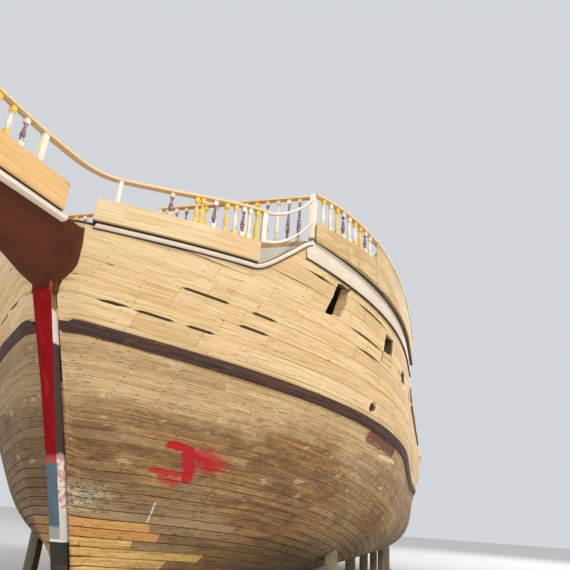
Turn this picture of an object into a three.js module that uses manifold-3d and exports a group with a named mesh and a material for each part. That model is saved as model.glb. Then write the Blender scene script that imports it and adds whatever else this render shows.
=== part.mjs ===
// A pirate ship tour boat of bare timber, hauled out on keel blocks and shores while it is being built.
// Millimetres. +X points to the bow, +Y to port and +Z up; the origin is on the ground amidships.

import * as THREE from 'three';
import { mergeVertices } from 'three/addons/utils/BufferGeometryUtils.js';
import Module from 'manifold-3d';

const wasm = await Module();
wasm.setup();

// Gap between pieces that touch
const SEAT = 0.3;

// Lines of the hull
const HALF_BEAM = 4920;
const RABBET_Z = 486;
const FULL_Z = 4320;
const FOOT = { x: 10000, z: 1242 };
const ENTRY = 8120;
const RUN = 9000;
const STEM_HALF = 150;

// Backbone and ground
const KEEL_Z = 300;
const POST_X = -12000;
const COUNTER_X = -13350;
const HEEL_X = -13150;
const SCREW = { x: -12420, z: 1350, radius: 620 };
const RUDDER = { x: -12980, foot: 540, head: 2550, stock: 3500, aft: -13850 };

// Stations of the upper works, fore to aft
const FORE_X = 9530;
const BREAK_X = 3200;
const CASTLE_X = -2600;
const POOP_X = -7600;

// Heights above the middle of the wale
const DECK_UP = 450;
const WAIST_UP = 1500;
const QUARTER_UP = 2600;
const QUARTER_TOP_UP = 3500;
const POOP_UP = 4750;

// Heights of the bow above the ground
const BOW_TRIM_Z = 5540;
const BOW_DECK_Z = 5585;
const BOW_PANEL_Z = 5960;
const BOW_RAIL_Z = 6390;
const BEAK_DECK_Z = 5455;
const BEAK_PANEL_Z = 5890;
const FORE_TRIM_Z = 6150;
const FORE_PANEL_Z = 6590;
const FORE_RAIL_Z = 7200;

// Thicknesses
const WALL = 160;
const DECK = 90;
const PANEL = 70;
const TRIM = 90;

const timber = (color, roughness = 0.7) => new THREE.MeshStandardMaterial({ color, roughness, metalness: 0 });
const newPlank = timber(0xd9a862);
const oldPlank = timber(0x9a7a55, 0.8);
const deckPlank = timber(0xb99a72);
const darkTimber = timber(0x4a2c22);
const redPaint = timber(0x9c2426, 0.6);
const whitePaint = timber(0xe4ddd2, 0.6);
const railTimber = timber(0xcbb48e);
const groundTimber = timber(0x6f604e, 0.9);
const bronze = new THREE.MeshStandardMaterial({ color: 0xa0793c, roughness: 0.35, metalness: 0.9 });

const ship = new THREE.Group();

function clamp(v) {
  return Math.min(Math.max(v, 0), 1);
}

function smooth(v) {
  const c = clamp(v);
  return c * c * (3 - 2 * c);
}

function mix(a, b, f) {
  return a + (b - a) * f;
}

// Lines of the hull

// Face of the stem, raked forward
function stemX(z) {
  const h = z - FOOT.z;
  return FOOT.x + 0.4477 * h + 7.5e-6 * h * h;
}

// Planking starts behind the face of the stem, further back near the forefoot
function bowX(z) {
  return stemX(z) - mix(430, 140, smooth((z - 1800) / 2000));
}

function sternX(z) {
  return mix(POST_X, COUNTER_X, smooth((z - 2300) / 1300)) - 0.1 * Math.max(z - 3600, 0);
}

function halfBreadth(x, z) {
  const v = clamp((z - RABBET_Z) / (FULL_Z - RABBET_Z));
  // Amidships the bottom is flatter and the bilge fuller
  const full = smooth((9600 - x) / 4500) * smooth((x + 9500) / 6000) * (1 - smooth((z - 1000) / 2200));
  const tumble = mix(0.14, 0.0214, smooth((x + 7000) / 9000)) * Math.max(z - FULL_Z, 0);
  const beam = HALF_BEAM * (1 - (1 - v) ** (2.318 + 3.2 * full)) ** (1 / 1.627) - tumble;
  const end = mix(STEM_HALF, 0.78 * beam, smooth((z - 1500) / 2600));
  const run = clamp((x - sternX(z)) / RUN);
  const fine = mix(1.6, 1, smooth((z - 1500) / 2600));
  const side = mix(Math.min(end, beam), beam, (1 - (1 - run) ** 2.2) ** fine);
  const t = stemX(z) - x;
  const w = clamp(t / (ENTRY * (1 - 0.0352 * (1 - v))));
  const set = stemX(z) - bowX(z);
  const shoulder = (1 - (1 - w) ** 2.97) ** (1 / 0.9028) * smooth((t - set) / (0.8 * set));
  return Math.max(mix(STEM_HALF, side, shoulder), STEM_HALF);
}

// Point on the port side, moved out along the level normal
function skin(x, z, out = 0) {
  const step = 4;
  const slope = (halfBreadth(x + step, z) - halfBreadth(x - step, z)) / (2 * step);
  const long = Math.hypot(1, slope);
  return [x - (out * slope) / long, halfBreadth(x, z) + out / long, z];
}

// Middle of the wale: high at the bow, lowest near the castle front, rising again aft
function wale(x) {
  return x > -2900 ? 3000 + 1140 * ((x + 2900) / 14000) ** 2 : 3000 + 1000 * ((x + 2900) / 11000) ** 2;
}

function deckZ(x) {
  return wale(x) + DECK_UP;
}

function foreRailZ(x) {
  return FORE_RAIL_Z - 750 * (1 - smooth((x - 4900) / 4600));
}

// Solids

function solid(geometry) {
  geometry.deleteAttribute('normal');
  geometry.deleteAttribute('uv');
  const g = mergeVertices(geometry, 1e-3);
  const mesh = new wasm.Mesh({
    numProp: 3,
    vertProperties: new Float32Array(g.attributes.position.array),
    triVerts: new Uint32Array(g.index.array),
  });
  return new wasm.Manifold(mesh);
}

function block(x0, x1, y0, y1, z0, z1) {
  const g = new THREE.BoxGeometry(Math.abs(x1 - x0), Math.abs(y1 - y0), Math.abs(z1 - z0));
  g.translate((x0 + x1) / 2, (y0 + y1) / 2, (z0 + z1) / 2);
  return solid(g);
}

function rod(a, b, radius, sides = 8) {
  const from = new THREE.Vector3(...a);
  const to = new THREE.Vector3(...b);
  const g = new THREE.CylinderGeometry(radius, radius, from.distanceTo(to), sides);
  g.applyQuaternion(new THREE.Quaternion().setFromUnitVectors(new THREE.Vector3(0, 1, 0),
    to.clone().sub(from).normalize()));
  g.translate(...from.add(to).multiplyScalar(0.5).toArray());
  return solid(g);
}

function join(list) {
  return list.reduce((sum, piece) => sum.add(piece));
}

// Cuts tools from a piece and keeps its largest body, without the slivers that a cut may leave
function cut(piece, ...tools) {
  const bodies = tools.reduce((rest, tool) => rest.subtract(tool), piece).decompose();
  return bodies.reduce((big, body) => (body.volume() > big.volume() ? body : big));
}

// Closed solid between two grids of points, grid[i][j], that face each other
function between(a, b) {
  const n = a.length;
  const m = a[0].length;
  const points = [...a.flat(), ...b.flat()];
  const id = (side, i, j) => side * n * m + i * m + j;
  const tris = [];
  const quad = (p, q, r, s) => tris.push(p, q, r, p, r, s);
  for (let i = 0; i < n - 1; i += 1) {
    for (let j = 0; j < m - 1; j += 1) {
      quad(id(0, i, j), id(0, i + 1, j), id(0, i + 1, j + 1), id(0, i, j + 1));
      quad(id(1, i, j), id(1, i, j + 1), id(1, i + 1, j + 1), id(1, i + 1, j));
    }
    quad(id(1, i, 0), id(1, i + 1, 0), id(0, i + 1, 0), id(0, i, 0));
    quad(id(0, i, m - 1), id(0, i + 1, m - 1), id(1, i + 1, m - 1), id(1, i, m - 1));
  }
  for (let j = 0; j < m - 1; j += 1) {
    quad(id(0, 0, j), id(0, 0, j + 1), id(1, 0, j + 1), id(1, 0, j));
    quad(id(1, n - 1, j), id(1, n - 1, j + 1), id(0, n - 1, j + 1), id(0, n - 1, j));
  }
  let volume = 0;
  for (let k = 0; k < tris.length; k += 3) {
    const [p, q, r] = [0, 1, 2].map((c) => new THREE.Vector3(...points[tris[k + c]]));
    volume += p.dot(q.cross(r));
  }
  if (volume < 0) tris.reverse();
  const mesh = new wasm.Mesh({
    numProp: 3,
    vertProperties: new Float32Array(points.flat()),
    triVerts: new Uint32Array(tris),
  });
  return new wasm.Manifold(mesh);
}

function mirrored(grid) {
  return grid.map((row) => row.map(([x, y, z]) => [x, -y, z]));
}

// Both sides of the ship: the port solid as made, the starboard one mirrored
const SIDES = [['port', 1], ['starboard', -1]];

function onSide(piece, sign) {
  return sign > 0 ? piece : piece.mirror([0, 1, 0]);
}

function add(name, material, piece) {
  const { vertProperties, triVerts } = piece.getMesh();
  const g = new THREE.BufferGeometry();
  g.setAttribute('position', new THREE.BufferAttribute(new Float32Array(vertProperties), 3));
  g.setIndex([...triVerts]);
  const mesh = new THREE.Mesh(g, material);
  mesh.name = name;
  ship.add(mesh);
}

function addPair(name, material, piece) {
  for (const [side, sign] of SIDES) add(`${name}_${side}`, material, onSide(piece, sign));
}

function span(a, b, count) {
  return Array.from({ length: count + 1 }, (_, i) => mix(a, b, i / count));
}

// Curved wall on the line of the side: a station is an x or a function of height, a height one of x
function wall(stations, heights, out, thick) {
  const face = (off) => stations.map((at) => heights.map((height) => {
    const raked = typeof at === 'function';
    const z = height(raked ? at(FULL_Z) : at);
    return skin(raked ? at(z) : at, z, off);
  }));
  return between(face(out), face(out - thick));
}

// Upright wall on the plan line that the side has at one height
function planWall(xs, planZ, outer, inner, low, high) {
  const face = (off) => xs.map((x) => {
    const [px, py] = skin(x, planZ, off);
    return [[px, py, low(x)], [px, py, high(x)]];
  });
  return between(face(outer), face(inner));
}

// Moulding on the side along points [x, z], with its outer and inner faces and half its height
function ribbon(points, outer, inner, half) {
  const edge = (off, sign) => points.map(([x, z], i) => {
    const [ax, az] = points[Math.max(i - 1, 0)];
    const [bx, bz] = points[Math.min(i + 1, points.length - 1)];
    const long = Math.hypot(bx - ax, bz - az);
    return skin(x - (sign * half * (az - bz)) / long, z + (sign * half * (ax - bx)) / long, off);
  });
  const face = (off) => edge(off, -1).map((low, i) => [low, edge(off, 1)[i]]);
  return between(face(outer), face(inner));
}

// Hull: solid and decked up to the main deck

const STATIONS = [0, 0.004, 0.011, 0.02, 0.032, 0.05, 0.075, 0.105, 0.145, 0.2, 0.27, 0.36, 0.46, 0.56,
  0.66, 0.75, 0.82, 0.88, 0.93, 0.97, 1];
const LOWER_ROWS = [0, 0.02, 0.06, 0.13, 0.25, 0.42, 0.68, 0.86, 1];

function hullGrid(grow) {
  return STATIONS.map((s) => LOWER_ROWS.map((f) => {
    const guess = mix(bowX(4300), sternX(4300), s);
    const z = mix(RABBET_Z - grow, deckZ(guess) + grow, f);
    const x = mix(bowX(z) + grow, sternX(z) - grow, s);
    const [px, py, pz] = s === 0 || s === 1 ? [x, halfBreadth(x, z) + grow, z] : skin(x, z, grow);
    return [px, py, pz];
  }));
}

const hullOf = (grow) => between(hullGrid(grow), mirrored(hullGrid(grow)));
const hullGrown = hullOf(SEAT);
// Trunk for the rudder's stock, open below the counter
const trunk = rod([RUDDER.x, 0, 2900], [RUDDER.x, 0, RUDDER.stock + 40], 90, 12);
add('hull', oldPlank, cut(hullOf(0), trunk));

// Stem: cutwater in front of the planking, wider at its head
const STEM_TOP = 5300;
const stemOf = (grow) => {
  const grid = span(FOOT.z + SEAT, STEM_TOP, 8).map((z) => [
    [stemX(z) + grow, mix(92, 165, smooth((z - 2400) / 2600)) + grow, z],
    [bowX(z) - 60, STEM_HALF + grow, z]]);
  return between(grid, mirrored(grid));
};
const stemGrown = stemOf(SEAT);

// Bow above the main deck: closed in below its own deck, back to the front of the forecastle
const bowStations = [0, 0.03, 0.075, 0.14, 0.24, 0.38, 0.55, 0.77, 1]
  .map((f) => (z) => mix(bowX(z), FORE_X, f));
const bowGrid = (grow) => bowStations.map((at) => [0, 0.33, 0.66, 1].map((row) => {
  const z = mix(deckZ(at(FULL_Z)) - 80, BOW_DECK_Z + grow, row);
  return skin(at(z), z, grow);
}));
const bowOf = (grow) => between(bowGrid(grow), mirrored(bowGrid(grow)));
const bowGrown = bowOf(SEAT);
add('stem', redPaint, cut(stemOf(0), hullGrown, bowGrown));
add('bow_topside', newPlank, cut(bowOf(0), hullGrown));

// Keel, with the forefoot below the stem, the sternpost, and the heel that carries the rudder
const forefootGrid = span(KEEL_Z, FOOT.z, 3).map((z) => [
  [stemX(z), 92, z], [bowX(Math.max(z, RABBET_Z)) - 300, STEM_HALF, z]]);
const keelBar = block(HEEL_X, bowX(RABBET_Z) - 200, -STEM_HALF, STEM_HALF, KEEL_Z, RABBET_Z - SEAT);
const innerPost = block(POST_X - 200, POST_X + 100, -STEM_HALF, STEM_HALF, RABBET_Z - 10, 2250);
const shaftHole = rod([POST_X - 210, 0, SCREW.z], [POST_X - 100, 0, SCREW.z], 62, 12);
add('keel', darkTimber, cut(join([between(forefootGrid, mirrored(forefootGrid)), keelBar, innerPost]),
  hullGrown, shaftHole));

// Wales: the dark band at the height of the main deck beams
const withHeight = (xs, height) => xs.map((x) => [x, height(x)]);
const waleXs = STATIONS.slice(1, -1).map((s) => mix(bowX(4100), sternX(3900), s));
const waleBand = cut(ribbon([[bowX(4130) + 30, wale(11150)], ...withHeight(waleXs, wale)], 70, -120, 85),
  hullGrown, stemGrown);
addPair('wale', darkTimber, waleBand);

// Forecastle sides, with the ports that show in them
const foreStations = [FORE_X - SEAT, 9350, 8700, 8000, 7700, 6800, 5900, 5000, 4100, BREAK_X];
const foreTrim = (x) => 5720 + 12.2 * ((x - BREAK_X) / 1000) ** 2;
// Forward of the forecastle's front each side runs down to the bow in a swoop
const WING = [[9480, 6240], [9573, 6200], [9640, 6100], [9716, 5985], [9852, 5790], [9900, 5720]];
const wingTop = (x) => (WING.find(([at]) => at >= x) ?? WING[WING.length - 1])[1];
const foreWall = (grow) => join([
  wall(foreStations, [(x) => deckZ(x) - 60, (x) => deckZ(x) + 900, (x) => foreTrim(x) + TRIM / 2 + grow],
    grow, WALL + 2 * grow),
  wall([WING[0][0] - grow, ...WING.slice(1, -1).map(([x]) => x), WING[WING.length - 1][0] + grow],
    [() => BOW_DECK_Z + SEAT - grow, (x) => wingTop(x) + grow], grow, WALL + 2 * grow),
]);
const PORTS = [
  // x, width, height, below the line of ports
  [8600, 400, 620, 0],
  [6780, 500, 420, 65],
  [5500, 400, 300, 280],
  [4150, 330, 300, 280],
];
const portCuts = PORTS.map(([x, width, height, drop]) => {
  const z = wale(x) + 1720 - drop;
  const y = halfBreadth(x, z);
  return block(x - width / 2, x + width / 2, y - 700, y + 500, z - height / 2, z + height / 2);
});
addPair('forecastle_side', newPlank, cut(foreWall(0), hullGrown, ...portCuts));
const foreWallGrown = foreWall(SEAT);

// Bulkheads and decks fit between the sides
const innerY = (x, z) => skin(x, z, -WALL)[1] + 30;
const bothSides = (piece) => [piece, onSide(piece, -1)];
function bulkhead(x, thick, low, high) {
  const edge = (at) => [low, mix(low, high, 0.5), high].map((z) => [at, innerY(at, z), z]);
  const grid = [edge(x), edge(x - thick)];
  return between(grid, mirrored(grid));
}
function deckSlab(xs, top, thick = DECK, wide = innerY) {
  const grid = xs.map((x) => [[x, wide(x, top(x) - thick), top(x) - thick], [x, wide(x, top(x)), top(x)]]);
  return between(grid, mirrored(grid));
}

const foreDeckZ = (x) => foreTrim(x) + TRIM / 2;
const foreWalls = bothSides(foreWallGrown);
const foreDeck = deckSlab(foreStations, foreDeckZ);
const foreDeckGrown = deckSlab(foreStations.map((x, i) => x + (i ? -SEAT : SEAT)), (x) => foreDeckZ(x) + SEAT,
  DECK + 2 * SEAT);
add('forecastle_deck', deckPlank, cut(foreDeck, ...foreWalls));
const frontPanel = bulkhead(FORE_X - 2 * SEAT, 80, deckZ(FORE_X) - 60, foreDeckZ(FORE_X));
add('forecastle_front', whitePaint, cut(frontPanel, hullGrown, bowGrown, foreDeckGrown, ...foreWalls));

const DOOR = { wide: 860, high: 1780, thick: 50, sill: 130 };
const doorway = (x, y) => block(x - 400, x + 400, y - DOOR.wide / 2, y + DOOR.wide / 2,
  deckZ(x) + DOOR.sill, deckZ(x) + DOOR.sill + DOOR.high);
const FORE_DOOR_Y = 1400;
const foreAft = BREAK_X + 260;
add('forecastle_bulkhead', newPlank, cut(bulkhead(foreAft, 120, deckZ(foreAft) - 60, foreDeckZ(foreAft)),
  hullGrown, foreDeckGrown, ...foreWalls, doorway(foreAft - 60, FORE_DOOR_Y)));

// Beak: V-shaped head on the stem that carries a railed platform, its plan tapering to a round tip
const BEAK = { root: 12000, tip: 14500, round: 14200, half: 560, taper: 0.145 };
const beakHalf = (x) => (x < BEAK.round ? BEAK.half - BEAK.taper * (x - BEAK.root)
  : (BEAK.half - BEAK.taper * (BEAK.round - BEAK.root))
    * Math.sqrt(Math.max(1 - ((x - BEAK.round) / (BEAK.tip - BEAK.round)) ** 2, 0)));
const beakKeelZ = (x) => mix(4560, 5240, clamp((x - 11750) / 2500) ** 0.8);
const BEAK_STATIONS = [11400, 12000, 12600, 13400, BEAK.round, 14350, 14450, 14490];
function beakHeadOf(grow) {
  const grid = BEAK_STATIONS.map((x, i) => [
    [Math.min(80, beakHalf(x) * 0.5) + grow, beakKeelZ(x) - grow],
    [beakHalf(x) * 0.62 + grow, mix(beakKeelZ(x), BEAK_DECK_Z, 0.45)],
    [beakHalf(x) + grow, BEAK_DECK_Z + grow]].map(([y, z]) => [x + (i > 5 ? grow : 0), y, z]));
  return between(grid, mirrored(grid));
}
add('beak_head', darkTimber, cut(beakHeadOf(0), bowGrown, stemGrown));

const RAIL_OUT = 90;
const CORNER_Y = skin(FORE_X, FORE_TRIM_Z, RAIL_OUT)[1];

// Sheer trim: white moulding along the bow, up the swoop and along the forecastle
const SWOOP = [[10060, 5540], [9965, 5585], [9816, 5779], [9690, 5965], [9590, 6120], [9490, 6200]];
const trimPath = [
  ...span(0, 0.86, 7).map((f) => [mix(bowX(BOW_TRIM_Z) - 10, FORE_X + 200, f ** 1.6), BOW_TRIM_Z]),
  ...SWOOP,
  ...withHeight([...foreStations.slice(1, -1), BREAK_X - 5], foreTrim),
];
addPair('sheer_trim', whitePaint, cut(ribbon(trimPath, 75, -60, TRIM / 2), bowGrown, foreWallGrown, stemGrown,
  beakHeadOf(SEAT)));
const trimGrown = ribbon(trimPath, 75 + SEAT, -60, TRIM / 2 + SEAT);
const cornerOf = (grow) => post(FORE_X - 45, CORNER_Y - 15, FORE_PANEL_Z - 280, FORE_RAIL_Z + 10 + grow,
  120 + 2 * grow);

// Bulwarks: a covering board on the deck edge, and an upright panel of boards on it
const bowRun = [11674, 11500, 11250, 10950, 10600, 10300, 10040];
const coverZ = () => BOW_DECK_Z + SEAT;
addPair('bow_bulwark', newPlank, cut(join([
  planWall(bowRun, BOW_TRIM_Z, 125, -150, coverZ, (x) => coverZ(x) + 40),
  planWall(bowRun, BOW_TRIM_Z, 125, 125 - PANEL, (x) => coverZ(x) + 20, () => BOW_PANEL_Z),
]), trimGrown));

const panelRun = [9440, 9200, 8700, 8000, 7700, 6800, 5600, 4400, BREAK_X];
const panelTop = (x) => (x > 7900 ? FORE_PANEL_Z : foreRailZ(x));
const foreCover = (x) => foreTrim(x) + TRIM / 2 + SEAT;
addPair('forecastle_bulwark', newPlank, cut(join([
  planWall(panelRun, FORE_TRIM_Z, 115, -140, (x) => foreCover(x) - 12, (x) => foreCover(x) + 40),
  planWall(panelRun, FORE_TRIM_Z, 115, 115 - PANEL, (x) => foreCover(x) + 20, panelTop),
]), foreWallGrown, foreDeckGrown, trimGrown, cornerOf(SEAT)));

// Turned balusters, flat posts and the handrails that join them

function baluster(x, y, low, high) {
  // radius, share of the height
  const turned = [[0, 0], [40, 0], [24, 0.2], [44, 0.42], [21, 0.74], [38, 1], [0, 1]];
  const g = new THREE.LatheGeometry(turned.map(([r, f]) => new THREE.Vector2(r, f * (high - low))), 6);
  g.rotateX(Math.PI / 2);
  g.translate(x, y, low);
  return solid(g);
}

function post(x, y, low, high, size = 90) {
  return block(x - size / 2, x + size / 2, y - size / 2, y + size / 2, low, high);
}

// Flat handrail over points [x, y, z of its top]
function handrail(points, width = 110, thick = 50) {
  const side = (sign) => points.map(([x, y, z], i) => {
    const a = points[Math.max(i - 1, 0)];
    const b = points[Math.min(i + 1, points.length - 1)];
    const long = Math.hypot(b[0] - a[0], b[1] - a[1]);
    const nx = (-(b[1] - a[1]) / long) * (width / 2) * sign;
    const ny = ((b[0] - a[0]) / long) * (width / 2) * sign;
    return [[x + nx, y + ny, z - thick], [x + nx, y + ny, z]];
  });
  return between(side(1), side(-1));
}

function lengthOf(points) {
  return points.slice(1).reduce((sum, p, i) => sum + Math.hypot(p[0] - points[i][0], p[1] - points[i][1]), 0);
}

// Point at a distance from the start of a path
function along(points, distance) {
  let left = distance;
  for (let i = 1; i < points.length; i += 1) {
    const long = lengthOf(points.slice(i - 1, i + 1));
    if (left <= long + 0.01) return [0, 1, 2].map((c) => mix(points[i - 1][c], points[i][c], left / long));
    left -= long;
  }
  return points[points.length - 1];
}

// Handrail on a path, with posts at the listed distances and balusters at others
function balustrade(points, foot, posts, balusters) {
  const stand = (make) => (d) => {
    const [x, y, z] = along(points, d);
    return make(x, y, foot(x), z - 30);
  };
  return join([handrail(points), ...posts.map(stand(post)), ...balusters.map(stand(baluster))]);
}

const evenly = (from, to, pitch) => span(from, to, Math.max(Math.round((to - from) / pitch), 1)).slice(1, -1);

// Bow rails: few balusters are fitted yet, at the places that show
const onPlan = (xs, planZ, height) => xs.map((x) => {
  const [px, py] = skin(x, planZ, RAIL_OUT);
  return [px, py, height(x)];
});
const bowRailZ = (x) => BOW_RAIL_Z + 200 * smooth((11600 - x) / 1700);
const bowRailPath = onPlan([11540, 11300, 11040, 10800, 10550, 10280, 9975], BOW_TRIM_Z, bowRailZ);
const bowRailLong = lengthOf(bowRailPath);
const BOW_BALUSTERS = [0.34, 0.5, 0.62, 0.77, 0.87];
const swoopRail = (z0, z1) => handrail(span(0, 1, 6).map((f) => {
  const [ax, ay] = bowRailPath[bowRailPath.length - 1];
  return [mix(ax, FORE_X + 10, f), mix(ay, CORNER_Y, f), mix(z0, z1, f ** 2)];
}), 60, 45);
addPair('bow_rail', railTimber, cut(join([
  balustrade(bowRailPath, () => BOW_PANEL_Z + SEAT, [50, bowRailLong - 50],
    BOW_BALUSTERS.map((f) => f * bowRailLong)),
  swoopRail(bowRailZ(9975), FORE_RAIL_Z - 80),
]), cornerOf(SEAT)));

// Forecastle rail: along both sides as far as the solid panels, across the front, and its corner posts
const sideRail = onPlan([7960, 8300, 8700, 9100, 9300, FORE_X - 40], FORE_TRIM_Z, foreRailZ);
const sideLong = lengthOf(sideRail);
const frontHalf = [[FORE_X - 45, CORNER_Y - 60, FORE_RAIL_Z], [FORE_X - 45, 400, FORE_RAIL_Z]];
const frontFoot = () => foreDeckZ(FORE_X) + SEAT;
addPair('forecastle_rail', railTimber, join([
  balustrade(sideRail, () => FORE_PANEL_Z + SEAT, [], evenly(30, sideLong - 20, 210)),
  balustrade(frontHalf, frontFoot, [lengthOf(frontHalf) - 50], evenly(0, lengthOf(frontHalf), 210)),
  cornerOf(0),
]));

// Path round the beak, from its port root by the tip to starboard, moved outward
function beakPath(root, out, z) {
  const half = [root, 12700, 13300, 13900, BEAK.round, 14350, 14450].filter((x) => x >= root)
    .map((x) => [x, beakHalf(x)]);
  const all = [...half, [BEAK.tip, 0], ...half.map(([x, y]) => [x, -y]).reverse()];
  return all.map(([x, y], i) => {
    const a = all[Math.max(i - 1, 0)];
    const b = all[Math.min(i + 1, all.length - 1)];
    const long = Math.hypot(b[0] - a[0], b[1] - a[1]);
    return [x - (out * (b[1] - a[1])) / long, y + (out * (b[0] - a[0])) / long, z];
  });
}
const beakWall = (root, outer, inner, low, high) => {
  const face = (out) => beakPath(root, out, 0).map(([x, y]) => [[x, y, low], [x, y, high]]);
  return between(face(outer), face(inner));
};
const BEAK_ROOT = 12250;
add('beak_trim', whitePaint, cut(beakWall(BEAK_ROOT, 70, -40, BEAK_DECK_Z - TRIM, BEAK_DECK_Z),
  beakHeadOf(SEAT)));
add('beak_bulwark', newPlank, join([
  beakWall(BEAK_ROOT, 100, -110, BEAK_DECK_Z + SEAT, BEAK_DECK_Z + 40),
  beakWall(BEAK_ROOT, 100, 100 - PANEL, BEAK_DECK_Z + 20, BEAK_PANEL_Z)]));

// Beak rail: round the platform and back to the first posts of the bow rails
const beakRailZ = (x) => BOW_RAIL_Z + 5 - 25 * smooth((x - 11500) / 900) + 90 * smooth((x - 12700) / 1800);
const beakRailPath = beakPath(BEAK_ROOT, 65, 0).map(([x, y]) => [x, y, beakRailZ(x)]);
const bowStart = [bowRailPath[0][0] + 4, bowRailPath[0][1] - 8];
const bend = [mix(bowStart[0], BEAK_ROOT, 0.45), mix(bowStart[1], beakHalf(BEAK_ROOT), 0.75)];
const runUp = [bowStart, bend].map(([x, y]) => [x, y, beakRailZ(x)]);
const rounded = [...runUp, ...beakRailPath, ...runUp.map(([x, y, z]) => [x, -y, z]).reverse()];
const beakLong = lengthOf(rounded);
const beakFoot = () => BEAK_PANEL_Z + SEAT;
const beakFirst = lengthOf(rounded.slice(0, 3)) + 60;
add('beak_rail', railTimber, cut(balustrade(rounded, beakFoot,
  [beakFirst + 527, beakLong - beakFirst - 527],
  evenly(beakFirst + 617, beakLong - beakFirst - 617, 230)),
  ...bothSides(join([handrail(bowRailPath, 111, 51),
    post(...along(bowRailPath, 50).slice(0, 2), BOW_PANEL_Z, BOW_RAIL_Z, 91)]))));

// Waist bulwarks, and the castle sides that step up to the quarterdeck and the poop
const waistTop = (x) => wale(x) + WAIST_UP;
const waistStations = [BREAK_X - SEAT, 2000, 900, -200, -1400, CASTLE_X + SEAT];
addPair('waist_bulwark', newPlank, cut(join([
  wall(waistStations, [(x) => deckZ(x) - 60, waistTop], 0, 120),
  wall(waistStations, [(x) => waistTop(x) - 30, (x) => waistTop(x) + 50], 60, 230),
]), hullGrown));

const quarterTrim = (x) => wale(x) + QUARTER_UP;
const castleTop = (x) => (x > POOP_X ? wale(x) + QUARTER_TOP_UP : wale(x) + POOP_UP);
const castleStations = [CASTLE_X, -3800, -5000, -6200, POOP_X + 1, POOP_X - 1, -8700, -9800, -11000, -12200];
const castleHeights = [(x) => deckZ(x) - 60, (x) => mix(deckZ(x), quarterTrim(x), 0.5), quarterTrim];
const castleWall = (grow) => wall([...castleStations.map((x, i) => x + (i ? 0 : grow)),
  (z) => sternX(z) + 5 - 2 * grow], [...castleHeights, (x) => castleTop(x) + grow], grow, WALL + 2 * grow);
const WINDOWS = [
  // first x, pitch, count, width, height, height above the wale
  [-4300, -1650, 6, 620, 640, 1650],
  [-8900, -1500, 3, 560, 620, 3760],
];
const castleWindows = WINDOWS.flatMap(([x0, pitch, count, width, height, up]) => span(0, count - 1, count - 1)
  .map((k) => {
    const x = x0 + k * pitch;
    const z = wale(x) + up;
    return block(x - width / 2, x + width / 2, 2000, 6000, z - height / 2, z + height / 2);
  }));
addPair('castle_side', newPlank, cut(castleWall(0), hullGrown, ...castleWindows));
const castleWalls = bothSides(castleWall(SEAT));

// Transom across the stern, with two rows of windows
const STERN_WINDOWS = [
  // y, middle z, width, height
  [-2550, 5600, 760, 760], [-870, 5600, 760, 760], [870, 5600, 760, 760], [2550, 5600, 760, 760],
  [-1700, 7750, 640, 660], [0, 7750, 640, 660], [1700, 7750, 640, 660],
];
const poopZ = (x) => wale(x) + POOP_UP;
const transomOf = (grow) => {
  const zs = span(deckZ(COUNTER_X) - 60, poopZ(COUNTER_X) + 40 + grow, 4);
  const face = (shift) => zs.map((z) => (
    [-1, 0, 1].map((f) => [sternX(z) + shift, f * innerY(sternX(z) + 200, z), z])));
  return between(face(5 - grow), face(5 + WALL + grow));
};
const sternCuts = STERN_WINDOWS.map(([y, z, width, height]) => block(-15000, -12500, y - width / 2,
  y + width / 2, z - height / 2, z + height / 2));
const transomGrown = transomOf(SEAT);

// Decks and bulkheads of the castle
const SLAB = 100;
const quarterXs = [CASTLE_X, -3800, -5000, -6200, -7600, -8700, -9800, -11000, -12200, -13600];
const quarterDeckOf = (grow) => deckSlab(quarterXs.map((x) => x + (x === CASTLE_X ? grow : 0)),
  (x) => quarterTrim(x) + grow, SLAB + 2 * grow);
add('quarter_deck', deckPlank, cut(quarterDeckOf(0), ...castleWalls, transomGrown));
const quarterGrown = quarterDeckOf(SEAT);
const poopXs = [POOP_X + 300, -8700, -9800, -11000, -12200, -13400, -13880];
const poopDeckOf = (grow) => deckSlab(poopXs, (x) => poopZ(x) + SLAB + grow, SLAB + 10 + 2 * grow,
  (x, z) => skin(Math.max(x, -13400), z, 70)[1]);
add('poop_deck', deckPlank, cut(poopDeckOf(0), ...castleWalls, transomGrown));
const poopGrown = poopDeckOf(SEAT);
add('transom', newPlank, cut(transomOf(0), hullGrown, ...castleWalls, ...sternCuts));

const castleFront = CASTLE_X - 150;
const CASTLE_DOOR_Y = 1500;
const castlePanel = bulkhead(castleFront, 120, deckZ(castleFront) - 60, quarterTrim(castleFront));
add('castle_bulkhead', newPlank, cut(castlePanel, hullGrown, quarterGrown, ...castleWalls,
  ...[1, -1].map((sign) => doorway(castleFront - 60, sign * CASTLE_DOOR_Y))));
const poopFront = POOP_X - 60;
const poopDoorway = block(poopFront - 400, poopFront + 400, -DOOR.wide / 2, DOOR.wide / 2,
  quarterTrim(poopFront) + DOOR.sill, quarterTrim(poopFront) + DOOR.sill + DOOR.high);
const poopPanel = bulkhead(poopFront, 120, quarterTrim(poopFront) - 60, poopZ(poopFront) + 60);
add('poop_bulkhead', newPlank, cut(poopPanel, quarterGrown, poopGrown, ...castleWalls, poopDoorway));

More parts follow.
